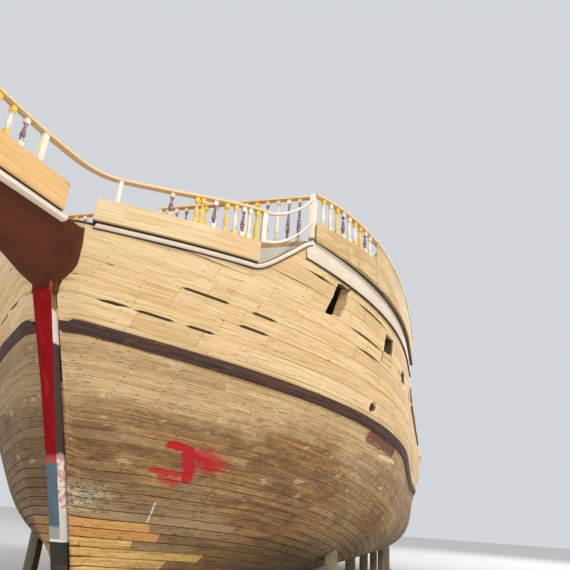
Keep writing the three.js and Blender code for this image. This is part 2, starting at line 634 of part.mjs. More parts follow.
// Doors swing outward from the bulkheads, each on a pin line at its outer edge
function door(x, y, low, side) {
  const half = DOOR.wide / 2 + 45;
  const leaf = block(x + 8, x + 8 + DOOR.thick, y - half, y + half, low + DOOR.sill - 45,
    low + DOOR.sill + DOOR.high + 45);
  const straps = [0.2, 0.8].map((f) => block(x + 8 + DOOR.thick - 5, x + 8 + DOOR.thick + 12, y - half + 20,
    y + half - 20, low + DOOR.sill + f * DOOR.high - 40, low + DOOR.sill + f * DOOR.high + 40));
  const hingeY = y + side * (half + 14);
  const pinX = x + 18.5;
  const barrel = rod([pinX, hingeY, low + DOOR.sill], [pinX, hingeY, low + DOOR.sill + DOOR.high], 18);
  const leafEdge = [0.2, 0.8].map((f) => block(x + 12, x + 28, Math.min(hingeY, y), Math.max(hingeY, y),
    low + DOOR.sill + f * DOOR.high - 40, low + DOOR.sill + f * DOOR.high + 40));
  return join([leaf, ...straps, barrel, ...leafEdge]);
}
const foreAftFace = foreAft - 120;
add('forecastle_door', oldPlank, door(-foreAftFace, FORE_DOOR_Y, deckZ(foreAftFace), 1).mirror([1, 0, 0]));
for (const [side, sign] of SIDES) {
  add(`castle_door_${side}`, oldPlank, door(castleFront, sign * CASTLE_DOOR_Y, deckZ(castleFront), sign));
}
add('poop_door', oldPlank, door(poopFront, 0, quarterTrim(poopFront), 1));

// Ladders: two stringers and treads, from a deck up to the edge of the deck above
const TREAD_RISE = 240;
function ladder(foot, head, y, width) {
  const stringer = (at) => {
    const face = (shift) => [foot, head].map(([x, z]) => [-110, 110].map((dx) => [x + dx, at + shift, z]));
    return between(face(22), face(-22));
  };
  const treads = span(0, 1, Math.round((head[1] - foot[1]) / TREAD_RISE)).slice(1, -1).map((f) => {
    const x = mix(foot[0], head[0], f);
    const z = mix(foot[1], head[1], f);
    return block(x - 95, x + 95, y - width / 2, y + width / 2, z - 20, z + 20);
  });
  return join([stringer(y - width / 2), stringer(y + width / 2), ...treads]);
}
const LADDER = { run: 1250, wide: 760 };
const upTo = (edge, run, low, high) => (
  [[edge + run, low(edge + run) - 30], [edge + Math.sign(run) * (110 + SEAT), high]]);
for (const [side, sign] of SIDES) {
  const [foot, head] = upTo(CASTLE_X, LADDER.run, deckZ, quarterTrim(CASTLE_X));
  add(`quarter_ladder_${side}`, deckPlank, cut(ladder(foot, head, sign * 3200, LADDER.wide), hullGrown));
}
const [foreFoot, foreHead] = upTo(BREAK_X, -LADDER.run, deckZ, foreDeckZ(BREAK_X));
add('forecastle_ladder', deckPlank, cut(ladder(foreFoot, foreHead, -2700, LADDER.wide), hullGrown));
const poopEdge = POOP_X + 300;
const [poopFoot, poopHead] = upTo(poopEdge, LADDER.run, quarterTrim, poopZ(poopEdge) + SLAB);
add('poop_ladder', deckPlank, cut(ladder(poopFoot, poopHead, 2300, LADDER.wide), quarterGrown));

// Rails of the castle and across the after edge of the forecastle
const RAIL_UP = 930;
function crossRail(x, y0, y1, foot, deck) {
  const path = [[x, y0, foot + RAIL_UP], [x, y1, foot + RAIL_UP]];
  return cut(balustrade(path, () => foot - 20, [50, y1 - y0 - 50], evenly(0, y1 - y0, 420)), deck);
}
const railX = [BREAK_X + 75, CASTLE_X - 75, poopEdge - 75];
add('forecastle_aft_rail', railTimber, crossRail(railX[0], -2200, 4200, foreDeckZ(railX[0]), foreDeckGrown));
add('quarter_rail', railTimber, crossRail(railX[1], -2700, 2700, quarterTrim(railX[1]), quarterGrown));
add('poop_front_rail', railTimber, crossRail(railX[2], -3300, 1850, poopZ(railX[2]) + SLAB, poopGrown));

const poopPlan = (x) => [x, skin(Math.max(x, -13400), poopZ(x), -20)[1], poopZ(x) + SLAB + RAIL_UP];
const poopSide = [poopEdge - 75, -8700, -9800, -11000, -12200, -13400, -13750].map(poopPlan);
const poopStern = [-13750 - 1, 60, poopPlan(-13750)[2]];
const poopRailPath = [...poopSide, poopStern];
const poopRailFoot = (x) => poopZ(x) + SLAB + SEAT + 4;
const poopLong = lengthOf(poopRailPath);
const poopCorner = lengthOf(poopSide);
const poopBalusters = [...evenly(50, poopCorner, 520), ...evenly(poopCorner, poopLong - 50, 520)];
addPair('poop_rail', railTimber, cut(balustrade(poopRailPath, poopRailFoot, [50, poopCorner, poopLong - 50],
  poopBalusters), poopGrown));

// Stern gallery: a railed balcony on brackets below the upper windows
const GALLERY = { z: 6330, half: 2900, aft: -14566, thick: 110 };
const galleryIn = -13740;
const galleryY = GALLERY.half - 60;
const galleryRail = [[galleryIn, galleryY], [GALLERY.aft, galleryY], [GALLERY.aft, -galleryY],
  [galleryIn, -galleryY]].map(([x, y]) => [x, y, GALLERY.z + RAIL_UP]);
const galleryLong = lengthOf(galleryRail);
const corner = GALLERY.aft - galleryIn;
const bracket = (y) => {
  const top = GALLERY.z - GALLERY.thick + 20;
  // x, depth
  const face = (shift) => [[-13400, 640], [-14400, 60]].map(([x, deep]) => (
    [[x, y + shift, top - deep], [x, y + shift, top]]));
  return between(face(60), face(-60));
};
add('stern_gallery', railTimber, cut(join([
  block(-13400, GALLERY.aft - 40, -GALLERY.half, GALLERY.half, GALLERY.z - GALLERY.thick, GALLERY.z),
  bracket(-2300), bracket(0), bracket(2300),
  balustrade(galleryRail, () => GALLERY.z - 10, [60, -corner, galleryLong + corner, galleryLong - 60],
    evenly(-corner, galleryLong + corner, 520)),
]), transomGrown, ...castleWalls));

// Hatch in the waist, with a lid hinged at its after edge
const HATCH = { aft: -300, fore: 1500, half: 750, up: 380, wall: 80 };
const hatchTop = deckZ(HATCH.fore) + HATCH.up;
const coaming = block(HATCH.aft, HATCH.fore, -HATCH.half, HATCH.half, deckZ(HATCH.aft) - 60, hatchTop);
add('hatch_coaming', newPlank, cut(coaming, block(HATCH.aft + HATCH.wall, HATCH.fore - HATCH.wall,
  HATCH.wall - HATCH.half, HATCH.half - HATCH.wall, deckZ(0) - 500, hatchTop + 500), hullGrown));
const lidZ = hatchTop + SEAT;
add('hatch_lid', deckPlank, join([
  block(HATCH.aft - 40, HATCH.fore + 40, -HATCH.half - 40, HATCH.half + 40, lidZ, lidZ + 60),
  ...[-0.6, 0, 0.6].map((f) => block(HATCH.aft + 20, HATCH.fore, f * HATCH.half - 50, f * HATCH.half + 50,
    lidZ + 50, lidZ + 100)),
]));

// Helm: a stand on the quarterdeck and the spoked wheel abaft it
const HELM = { x: -5400, up: 950, radius: 470 };
const helmZ = quarterTrim(HELM.x) + HELM.up;
add('helm_stand', oldPlank, cut(join([
  block(HELM.x - 160, HELM.x + 160, -230, 230, quarterTrim(HELM.x) - 30, helmZ + 150),
  block(HELM.x - 220, HELM.x + 220, -290, 290, quarterTrim(HELM.x) - 30, quarterTrim(HELM.x) + 90),
]), quarterGrown));
const wheelX = HELM.x - 160 - 130;
const rim = new THREE.LatheGeometry([[HELM.radius - 55, -30], [HELM.radius, -30], [HELM.radius, 30],
  [HELM.radius - 55, 30], [HELM.radius - 55, -30]].map(([r, h]) => new THREE.Vector2(r, h)), 16);
rim.rotateZ(Math.PI / 2);
rim.translate(wheelX, 0, helmZ);
const spokes = [0, 1, 2, 3, 4, 5, 6, 7].map((k) => {
  const a = (k * Math.PI) / 4 + 0.2;
  const tip = HELM.radius + 150;
  return rod([wheelX, 0, helmZ], [wheelX, tip * Math.cos(a), helmZ + tip * Math.sin(a)], 20, 5);
});
add('helm_wheel', oldPlank, join([solid(rim), ...spokes,
  rod([wheelX - 60, 0, helmZ], [HELM.x - 160 - SEAT, 0, helmZ], 80, 10)]));

// Rudder: blade on a stock that turns in its trunk, its pintle standing on the heel of the keel
const rudderGrid = [[RUDDER.x + 70, 55], [RUDDER.x - 60, 80], [RUDDER.aft, 35]].map(([x, half]) => (
  [RUDDER.foot, RUDDER.head].map((z) => [x, half, z])));
add('rudder', darkTimber, join([
  between(rudderGrid, mirrored(rudderGrid)),
  rod([RUDDER.x, 0, RUDDER.head - 40], [RUDDER.x, 0, RUDDER.stock], 70, 12),
  rod([RUDDER.x, 0, RABBET_Z], [RUDDER.x, 0, RUDDER.foot + 20], 45, 12),
]));

// Propeller of three blades, its shaft running in the sternpost
const blade = (turn) => {
  const rings = [[90, 120, 0.9], [280, 260, 0.62], [480, 300, 0.42], [SCREW.radius, 140, 0.32]];
  const face = (off) => rings.map(([r, chord, pitch]) => [-0.5, 0.5].map((f) => {
    const px = SCREW.x + f * chord * Math.sin(pitch) + off * Math.cos(pitch);
    const side = f * chord * Math.cos(pitch) - off * Math.sin(pitch);
    const [c, s] = [Math.cos(turn), Math.sin(turn)];
    return [px, r * c - side * s, SCREW.z + r * s + side * c];
  }));
  return between(face(14), face(-14));
};
add('propeller', bronze, join([
  rod([POST_X - 100 - SEAT, 0, SCREW.z], [SCREW.x, 0, SCREW.z], 50, 12),
  rod([POST_X - 212, 0, SCREW.z], [SCREW.x - 130, 0, SCREW.z], 110, 12),
  ...[0.4, 2.494, 4.589].map(blade),
]));

// Ground timbers: keel blocks on two sleepers, and shores on a sill under each bilge
const BLOCKS = span(-10500, 8600, 8);
add('keel_blocks', groundTimber, join([
  block(-11500, 9300, 380, 620, 0, 130), block(-11500, 9300, -620, -380, 0, 130),
  ...BLOCKS.map((x) => block(x - 180, x + 180, -700, 700, 110, KEEL_Z - SEAT)),
]));
const SHORES = span(-8200, 5800, 5);
addPair('shores', groundTimber, join([
  block(-9000, 6600, 3250, 3550, 0, 140),
  ...SHORES.map((x) => cut(block(x - 110, x + 110, 3290, 3510, 120, 2200), hullGrown)),
]));

export default ship;
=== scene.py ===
# Pirate ship tour boat of bare timber, hauled out in build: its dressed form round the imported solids.
# Metres, with +X to the bow, +Y to port and +Z up from the level it stands on.

import math
import random

import bpy
from mathutils import Matrix, Vector


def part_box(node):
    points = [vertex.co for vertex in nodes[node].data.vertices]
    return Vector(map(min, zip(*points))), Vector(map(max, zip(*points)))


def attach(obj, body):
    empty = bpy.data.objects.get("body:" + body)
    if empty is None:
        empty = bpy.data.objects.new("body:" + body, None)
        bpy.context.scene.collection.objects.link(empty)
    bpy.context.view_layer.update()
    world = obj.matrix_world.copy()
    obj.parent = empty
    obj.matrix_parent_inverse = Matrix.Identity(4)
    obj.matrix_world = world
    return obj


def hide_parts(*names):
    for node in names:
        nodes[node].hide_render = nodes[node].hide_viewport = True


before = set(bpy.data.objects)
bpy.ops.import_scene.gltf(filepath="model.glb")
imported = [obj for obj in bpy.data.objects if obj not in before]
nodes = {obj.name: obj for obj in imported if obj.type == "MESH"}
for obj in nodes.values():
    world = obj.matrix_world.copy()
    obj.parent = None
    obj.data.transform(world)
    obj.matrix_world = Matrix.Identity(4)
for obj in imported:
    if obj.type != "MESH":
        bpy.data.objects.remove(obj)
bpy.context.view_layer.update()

# Planking below the wale: strakes of softwood bent round the frames, caulked in their seams.
# The upper ones are planed, the lower ones old and darkened as painted shade, and some by the stem are new.


def clamp(v):
    return min(max(v, 0.0), 1.0)


def smooth(v):
    c = clamp(v)
    return c * c * (3 - 2 * c)


def mix(a, b, f):
    return a + (b - a) * f


def stem_x(z):
    h = z - 1.242
    return 10 + 0.4477 * h + 0.0075 * h * h


def bow_x(z):
    return stem_x(z) - mix(0.43, 0.14, smooth((z - 1.8) / 2))


def stern_x(z):
    return mix(-12, -13.35, smooth((z - 2.3) / 1.3)) - 0.1 * max(z - 3.6, 0)


# heights of rabbet and greatest beam, half widths of stem and hull, lengths of entry and run, lap on the stem
RABBET_Z, FULL_Z = 0.486, 4.32
STEM_HALF, HALF_BEAM = 0.150, 4.92
ENTRY, RUN = 8.12, 9
LAP = 0.14


def half_breadth(x, z):
    """Half width of the hull: full in the bilge amidships, drawn in to the stem and to the stern."""
    v = clamp((z - RABBET_Z) / (FULL_Z - RABBET_Z))
    full = smooth((9.6 - x) / 4.5) * smooth((x + 9.5) / 6) * (1 - smooth((z - 1) / 2.2))
    tumble = mix(0.14, 0.0214, smooth((x + 7) / 9)) * max(z - FULL_Z, 0)
    beam = HALF_BEAM * (1 - (1 - v) ** (2.318 + 3.2 * full)) ** (1 / 1.627) - tumble
    end = mix(STEM_HALF, 0.78 * beam, smooth((z - 1.5) / 2.6))
    run = clamp((x - stern_x(z)) / RUN)
    fine = mix(1.6, 1, smooth((z - 1.5) / 2.6))
    side_y = mix(min(end, beam), beam, (1 - (1 - run) ** 2.2) ** fine)
    t = stem_x(z) - x
    w = clamp(t / (ENTRY * (1 - 0.0352 * (1 - v))))
    back = stem_x(z) - bow_x(z)
    shoulder = (1 - (1 - w) ** 2.97) ** (1 / 0.9028) * smooth((t - back) / (0.8 * back))
    return max(mix(STEM_HALF, side_y, shoulder), STEM_HALF)


def side(x, z, out=0.0):
    """Point on the port side, moved out along the level normal."""
    slope = (half_breadth(x + 0.004, z) - half_breadth(x - 0.004, z)) / 0.008
    long = math.hypot(1, slope)
    return Vector((x - out * slope / long, half_breadth(x, z) + out / long, z))


def wale_z(x):
    """Height of the middle of the wale."""
    return 3 + 1.14 * ((x + 2.9) / 14) ** 2 if x > -2.9 else 3 + ((x + 2.9) / 11) ** 2


def select_only(*objects):
    bpy.ops.object.select_all(action="DESELECT")
    for o in objects:
        o.select_set(True)
    bpy.context.view_layer.objects.active = objects[0]


def apply(piece, kind, **settings):
    """Adds a modifier with its settings and applies it."""
    select_only(piece)
    bpy.ops.object.modifier_add(type=kind)
    modifier = piece.modifiers[-1]
    for key, value in settings.items():
        setattr(modifier, key, value)
    bpy.ops.object.modifier_apply(modifier=modifier.name)
    return piece


def ease(piece, width, segments=1, degrees=40):
    return apply(piece, "BEVEL", width=width, segments=segments, limit_method="ANGLE",
                 angle_limit=math.radians(degrees), use_clamp_overlap=True)


def named(piece, name):
    piece.name = piece.data.name = name
    return piece


def merge(name, pieces):
    select_only(*pieces)
    bpy.ops.object.join()
    return named(bpy.context.active_object, name)


def smoothed(piece, degrees=35):
    select_only(piece)
    bpy.ops.object.shade_smooth_by_angle(angle=math.radians(degrees))
    return piece


def faced(piece, inward=False):
    """Turns the faces outward again after its points were moved."""
    select_only(piece)
    bpy.ops.object.mode_set(mode="EDIT")
    bpy.ops.mesh.select_all(action="SELECT")
    bpy.ops.mesh.normals_make_consistent(inside=inward)
    bpy.ops.object.mode_set(mode="OBJECT")
    return piece


def set_points(mesh, points):
    mesh.vertices.foreach_set("co", [c for p in points for c in p])
    mesh.update()


def mark(mesh, **values):
    """Gives every point of a mesh the same number under each name."""
    for key, value in values.items():
        attribute = mesh.attributes.get(key) or mesh.attributes.new(key, "FLOAT", "POINT")
        attribute.data.foreach_set("value", [value] * len(mesh.vertices))


def plank(low, high, start=0.0, **marks):
    """Board between two edges, lists of points from end to end; its UV is in metres, along and across."""
    count = len(low)
    bpy.ops.mesh.primitive_grid_add(x_subdivisions=count - 1, y_subdivisions=1, size=1)
    mesh = bpy.context.active_object.data
    reach = [start]
    for a, b in zip(low, low[1:]):
        reach.append(reach[-1] + (b - a).length)
    where = [(round((v.co.x + 0.5) * (count - 1)), round(v.co.y + 0.5)) for v in mesh.vertices]
    set_points(mesh, [(low, high)[row][col] for col, row in where])
    width = [(b - a).length / 2 for a, b in zip(low, high)]
    for loop, uv in zip(mesh.loops, mesh.uv_layers.active.data):
        col, row = where[loop.vertex_index]
        uv.uv = (reach[col], width[col] * (2 * row - 1))
    mark(mesh, **marks)
    return bpy.context.active_object


rng = random.Random(11)


def sawn(**marks):
    """Maker of the planks of a strake, each with its own tint and grain."""
    return lambda a, b, number: plank(a, b, rng.random() * 40, tint=rng.random(), **marks)


def strake(low, high, gap, butts, make):
    """One run of planks between two edges. butts are where planks meet; gap is the seam, or its width at the
    lower and the upper edge at each point."""
    gaps = gap if isinstance(gap, list) else [(gap, gap)] * len(low)
    near, far = [], []
    for a, b, (under, over) in zip(low, high, gaps):
        across = (b - a).normalized()
        most = (b - a).length * 0.3
        near.append(a + across * min(under / 2, most))
        far.append(b - across * min(over / 2, most))
    made = []
    cuts = [0, *butts, len(low) - 1]
    for number, (i, j) in enumerate(zip(cuts, cuts[1:])):
        ends = []
        for edge in (near, far):
            part = edge[i:j + 1]
            along = (part[1] - part[0]).normalized() * 0.002
            back = (part[-2] - part[-1]).normalized() * 0.002
            ends.append([part[0] + along * (i > 0), *part[1:-1], part[-1] + back * (j < len(low) - 1)])
        made.append(make(ends[0], ends[1], number))
    return made


def butt_places(count, first, least, most):
    found = []
    at = first
    while at < count - 3:
        found.append(at)
        at += rng.randint(least, most)
    return found


STRAKES = 26
LENGTH = 24.7
# where the hollow run starts, and how far the planks stand clear of the carcass there
RUN_X, RUN_CLEAR = -4, 0.04
steps = [0, 0.05, 0.1, 0.16, 0.24, 0.34, 0.46, 0.6]
while steps[-1] < 4.2:
    steps.append(steps[-1] + 0.17)
while steps[-1] < LENGTH - 0.3:
    steps.append(steps[-1] + 0.29)
steps[-1] = LENGTH


def girth(share, fractions):
    """Points at fractions of the way from keel to wale, on the section at a share of the length. By the bow
    the planks run level and lap on the stem's side. Further aft they share out the girth, and in the run they
    stand clear of the carcass."""
    count, crowd = 80, 1.7
    top = 3.6
    for _ in range(8):
        top = wale_z(mix(stem_x(top) - LAP, stern_x(top), share)) - 0.065
    points = []
    for i in range(count + 1):
        z = mix(RABBET_Z, top, (i / count) ** crowd)
        x = mix(stem_x(z) - LAP, stern_x(z), share)
        point = side(x, z, 0.012 + 0.022 * max(smooth(1 - abs(share - 0.02) / 0.03), smooth((RUN_X - x) / 2)))
        if x < RUN_X:
            struck, spot, _, _ = nodes["hull"].ray_cast((x, 8, z), (0, -1, 0))
            point.y = max(point.y, spot.y + RUN_CLEAR) if struck else point.y
        points.append(point)
    reach = [0.0]
    for a, b in zip(points, points[1:]):
        reach.append(reach[-1] + (b - a).length)
    level = 1 - smooth((share - 0.04) / 0.4)
    found = []
    for f in fractions:
        k = count * f ** (1 / crowd)
        at = mix(reach[int(k)], reach[min(int(k) + 1, count)], k - int(k))
        want = mix(f * reach[-1], at, level)
        i = sum(1 for r in reach[1:count] if r < want)
        part = clamp((want - reach[i]) / max(reach[i + 1] - reach[i], 1e-9))
        found.append(points[i].lerp(points[i + 1], part))
    return found


def dried_seam(row):
    """Width of the seams of a strake below the wale: open low down, tight above."""
    return 0.02 if row < 9 else 0.012 if row < 14 else 0.005 if row < 19 else 0.003


# strake: length of new timber from the stem, and how orange it is
NEW_PLANKS = {0: (1.5, 0.4), 1: (1.7, 0.5), 2: (1.3, 0.45), 3: (1.45, 0.5), 4: (1.95, 0.6), 5: (0.75, 0.5),
              6: (1.05, 1.0), 7: (0.8, 0.95)}
sections = [girth(d / LENGTH, [i / STRAKES for i in range(STRAKES + 1)]) for d in steps]
lower = []
for row in range(STRAKES):
    new_length, orange = NEW_PLANKS.get(row, (0, 0))
    first = sum(1 for d in steps if d < new_length) or rng.randint(12, 26)

    def lower_plank(a, b, number, row=row, orange=orange):
        return plank(a, b, rng.random() * 40, tint=rng.random(), fresh=orange * (number == 0))

    lower += strake([s[row] for s in sections], [s[row + 1] for s in sections], dried_seam(row),
                    butt_places(len(steps), first, 13, 22), lower_plank)
planking = merge("hull_planking_port", lower)
apply(planking, "SOLIDIFY", thickness=0.045, offset=-0.4)
smoothed(ease(planking, 0.003, 1, 50))


def other_side(piece, name):
    """Copy of a port piece on the starboard side."""
    select_only(piece)
    bpy.ops.object.duplicate()
    copy = named(bpy.context.active_object, name)
    set_points(copy.data, [(v.co.x, -v.co.y, v.co.z) for v in copy.data.vertices])
    bpy.ops.object.mode_set(mode="EDIT")
    bpy.ops.mesh.select_all(action="SELECT")
    bpy.ops.mesh.flip_normals()
    bpy.ops.object.mode_set(mode="OBJECT")
    return copy


class Value:
    """A socket of a material, with arithmetic that adds its nodes."""

    def __init__(self, finish, socket):
        self.finish, self.socket = finish, socket

    def maths(self, operation, a, b=None):
        return self.finish.add("Math", {"operation": operation}, {0: a} if b is None else {0: a, 1: b})

    def __add__(self, other):
        return self.maths("ADD", self, other)

    def __radd__(self, other):
        return self.maths("ADD", other, self)

    def __sub__(self, other):
        return self.maths("SUBTRACT", self, other)

    def __rsub__(self, other):
        return self.maths("SUBTRACT", other, self)

    def __mul__(self, other):
        return self.maths("MULTIPLY", self, other)

    def __rmul__(self, other):
        return self.maths("MULTIPLY", other, self)

    def __truediv__(self, other):
        return self.maths("DIVIDE", self, other)

    def __abs__(self):
        return self.maths("ABSOLUTE", self)

    def floor(self):
        return self.maths("FLOOR", self)

    def fraction(self):
        return self.maths("FRACT", self)

    def least(self, other):
        return self.maths("MINIMUM", self, other)

    def most(self, other):
        return self.maths("MAXIMUM", self, other)


class Finish:
    """A material whose colour and bump are worked out from places and attributes."""

    def __init__(self, name, roughness=0.75, metallic=0.0):
        self.material = bpy.data.materials.new(name)
        self.material.use_nodes = True
        self.tree = self.material.node_tree
        self.surface = self.tree.nodes["Principled BSDF"]
        self.surface.inputs["Roughness"].default_value = roughness
        self.surface.inputs["Metallic"].default_value = metallic

    def add(self, kind, settings=(), inputs=(), output=0):
        node = self.tree.nodes.new("ShaderNode" + kind)
        for key, value in dict(settings).items():
            setattr(node, key, value)
        for key, value in dict(inputs).items():
            if isinstance(value, Value):
                self.tree.links.new(value.socket, node.inputs[key])
            else:
                node.inputs[key].default_value = value
        return Value(self, node.outputs[output])

    def place(self):
        return self.add("TexCoord", output="Object")

    def facing(self, letter):
        """Part of the surface's normal along an axis of the piece."""
        return self.axis(self.add("TexCoord", output="Normal"), letter)

    def board(self):
        return self.add("TexCoord", output="UV")

    def number(self, name):
        return self.add("Attribute", {"attribute_name": name}, output="Fac")

    def axis(self, vector, letter):
        return self.add("SeparateXYZ", inputs={0: vector}, output="XYZ".index(letter))

    def vector(self, x, y, z=0.0):
        return self.add("CombineXYZ", inputs={0: x, 1: y, 2: z})

    def noise(self, vector, scale=(1, 1, 1), detail=4.0, rough=0.55, warp=0.0):
        stretched = self.add("Mapping", inputs={"Vector": vector, "Scale": scale})
        return self.add("TexNoise", {}, {"Vector": stretched, "Scale": 1.0, "Detail": detail,
                                         "Roughness": rough, "Distortion": warp})

    def ramp(self, value, low, high):
        """0 at low and 1 at high, smooth between, also where low is above high."""
        if low > high:
            return 1 - self.ramp(value, high, low)
        return self.add("MapRange", {"interpolation_type": "SMOOTHSTEP"},
                        {"Value": value, "From Min": low, "From Max": high})

    def length(self, vector):
        return self.add("VectorMath", {"operation": "LENGTH"}, {0: vector}, output="Value")

    def knots(self, board, scale):
        """Distance from the nearest knot."""
        stretched = self.add("VectorMath", {"operation": "MULTIPLY"}, {0: board, 1: scale})
        return self.add("TexVoronoi", {"feature": "F1"}, {"Vector": stretched, "Scale": 1.0},
                        output="Distance")

    def blend(self, mask, a, b):
        return self.add("Mix", {"data_type": "RGBA"}, {0: mask, 6: a, 7: b}, output=2)

    def finish(self, colour, roughness=None, height=None, depth=0.01, strength=0.6):
        self.tree.links.new(colour.socket, self.surface.inputs["Base Color"])
        if roughness is not None:
            self.tree.links.new(roughness.socket, self.surface.inputs["Roughness"])
        if height is not None:
            bump = self.add("Bump", {}, {"Strength": strength, "Distance": depth, "Height": height})
            self.tree.links.new(bump.socket, self.surface.inputs["Normal"])
        return self.material


def paint(red, green, blue):
    """Colour as seen, each part from 0 to 255, for a socket."""
    light = [c / 3294.6 if c < 10.3 else ((c / 255 + 0.055) / 1.055) ** 2.4 for c in (red, green, blue)]
    return (*light, 1.0)


def wear(pieces, *materials):
    for piece in pieces:
        piece.data.materials.clear()
        for material in materials:
            piece.data.materials.append(material)


def settle(pieces, body="root", instead=()):
    """Rides pieces on a body; instead lists the nodes that the first piece stands for."""
    for piece in pieces:
        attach(piece, body)
    if instead:
        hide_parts(*instead)


def grain(f, board, tint):
    """Fine streaks and broad bands along a board, which start elsewhere on each one."""
    start = f.vector(tint * 37.0, tint * 11.0, tint * 5.0)
    moved = f.add("VectorMath", {"operation": "ADD"}, {0: board, 1: start})
    return f.noise(moved, (1.1, 46, 46), 7.0, 0.64, 0.5), f.noise(moved, (0.4, 7, 7), 3.0, 0.5, 0.6)


def nails(f, place, board, pitch, off, size):
    """Mask of the nails' heads: pairs in each plank, in upright rows at the frames."""
    x = ((f.axis(place, "X") / pitch).fraction() - 0.5) * pitch
    y = abs(f.axis(board, "Y")) - off
    return f.ramp(f.length(f.vector(x, y)), size, size * 0.6)


def capsule(f, place, a, b, radius, ragged=0.5):
    """Mask of a daub of paint on the port side, drawn from a to b, each given as x and z."""
    x, z = f.axis(place, "X") - a[0], f.axis(place, "Z") - a[1]
    dx, dz = b[0] - a[0], b[1] - a[1]
    t = ((x * dx + z * dz) / (dx * dx + dz * dz)).most(0.0).least(1.0)
    far = f.length(f.vector(x - t * dx, z - t * dz))
    edge = f.noise(place, (6, 6, 46), 5.0, 0.72) - 0.5
    daub = f.ramp(far + edge * (radius * 2.4 * ragged), radius, radius * 0.8)
    return daub * f.ramp(f.axis(place, "Y"), 0.0, 0.05)


f = Finish("planks_below_wale", 0.8)
tint, fresh, board, place = f.number("tint"), f.number("fresh"), f.board(), f.place()
streak, band = grain(f, board, tint)
length, height = f.axis(place, "X"), f.axis(place, "Z")
port = f.ramp(f.axis(place, "Y"), -0.1, 0.1)
patch = f.noise(place, (0.55, 0.55, 1.0), 5.0, 0.62, 0.4)
blotch = f.noise(place, (1.7, 1.7, 4.5), 5.0, 0.65, 0.6)
clean = f.blend(f.ramp(streak, 0.36, 0.64), paint(222, 192, 146), paint(184, 150, 104))
clean = f.blend(f.ramp(band, 0.45, 0.7) * 0.5, clean, paint(178, 136, 88))
# Old weathered colour, made darker still as painted shade.
old_and_shaded = f.blend(f.ramp(streak, 0.36, 0.64), paint(186, 144, 90), paint(112, 78, 44))
old_and_shaded = f.blend(f.ramp(blotch, 0.46, 0.62) * 0.8, old_and_shaded, paint(110, 80, 50))
old_and_shaded = f.blend(f.ramp(patch, 0.46, 0.62) * 0.5, old_and_shaded, paint(162, 142, 108))
mould = f.ramp(f.noise(place, (7, 7, 22), 6.0, 0.72, 0.4), 0.5, 0.64)
old_and_shaded = f.blend(mould * 0.65, old_and_shaded, paint(86, 66, 44))
clean = f.blend(mould * 0.3, clean, paint(150, 112, 70))
# Towards the keel the old, shaded colour takes over: partly weathering, partly painted shade.
colour = f.blend(f.ramp(height + patch * 1.5 + band * 0.3, 4.3, 3.6), clean, old_and_shaded)
colour = f.blend(f.ramp(tint, 0.45, 1.0) * 0.3, colour, paint(116, 80, 48))
colour = f.blend(f.ramp(tint, 0.3, 0.0) * 0.25, colour, paint(214, 184, 138))
new = f.blend(f.ramp(streak, 0.36, 0.64), paint(244, 208, 136), paint(212, 164, 94))
new = f.blend(f.ramp(fresh, 0.85, 1.0) * 0.6, new, paint(200, 128, 60))
new = f.blend(mould * 0.4, new, paint(150, 98, 50))
colour = f.blend(f.ramp(fresh, 0.05, 0.3) * 0.9, colour, new)
# Painted shade: the starboard planks below the wale are darkened as if that side stood in shadow.
colour = f.blend((1 - port) * 0.45, colour, paint(104, 82, 62))
fouled = f.ramp(height + patch * 1.4, 2.7, 1.7) * f.ramp(length + blotch * 2.0, 9.4, 7.6) * 0.7
colour = f.blend(fouled, colour, f.blend(blotch, paint(84, 74, 54), paint(58, 46, 34)))
speck = f.ramp(f.noise(place, (15, 15, 24), 4.0, 0.75), 0.44, 0.52)
primed = speck * f.ramp(length + blotch, 10.0, 10.45) * port
primed = primed * f.ramp(height + blotch * 0.2, 1.72, 1.8) * f.ramp(height, 2.16, 1.9)
colour = f.blend(primed * 0.9, colour, f.blend(mould, paint(200, 192, 164), paint(104, 102, 86)))
filler = f.ramp(f.noise(place, (2.0, 2.0, 5.5), 4.0, 0.62), 0.62, 0.66) * f.ramp(height, 1.9, 2.3)
colour = f.blend(filler * 0.4, colour, paint(222, 204, 172))
scuff = f.ramp(f.noise(place, (3.5, 3.5, 34), 5.0, 0.7), 0.56, 0.66)
colour = f.blend(scuff * 0.6, colour, paint(84, 58, 38))
pits = f.ramp(f.noise(place, (26, 26, 60), 3.0, 0.6), 0.64, 0.7)
colour = f.blend(pits * f.ramp(height, 3.9, 3.3) * 0.7, colour, paint(58, 42, 30))
nail = nails(f, place, board, 0.43, 0.036, 0.011)
colour = f.blend(nail * 0.75, colour, paint(56, 40, 28))
# daub of red paint: start and end as x and z, radius, raggedness, strength
DAUB = [((9.66, 2.715), (9.45, 2.66), 0.062, 0.8, 1.0), ((9.45, 2.64), (9.31, 2.42), 0.07, 0.9, 1.0),
        ((9.31, 2.45), (9.215, 2.22), 0.066, 0.8, 1.0), ((9.38, 2.61), (9.15, 2.5), 0.05, 1.2, 0.95),
        ((9.3, 2.6), (9.0, 2.47), 0.12, 1.9, 0.75), ((9.22, 2.48), (8.98, 2.42), 0.07, 2.2, 0.7),
        ((9.64, 2.33), (9.36, 2.28), 0.05, 1.5, 0.85), ((9.5, 2.22), (9.3, 2.16), 0.05, 1.9, 0.7)]
red = f.blend(f.noise(place, (8, 8, 30), 3.0), paint(204, 22, 34), paint(156, 16, 30))
for start, end, radius, ragged, strength in DAUB:
    colour = f.blend(capsule(f, place, start, end, radius, ragged) * strength, colour, red)
colour = f.blend(capsule(f, place, (6.75, 3.37), (5.5, 3.24), 0.15, 1.5) * 0.85, colour, paint(96, 36, 38))
colour = f.blend(capsule(f, place, (6.05, 3.07), (5.1, 3.05), 0.035, 0.8) * 0.8, colour, paint(232, 214, 176))
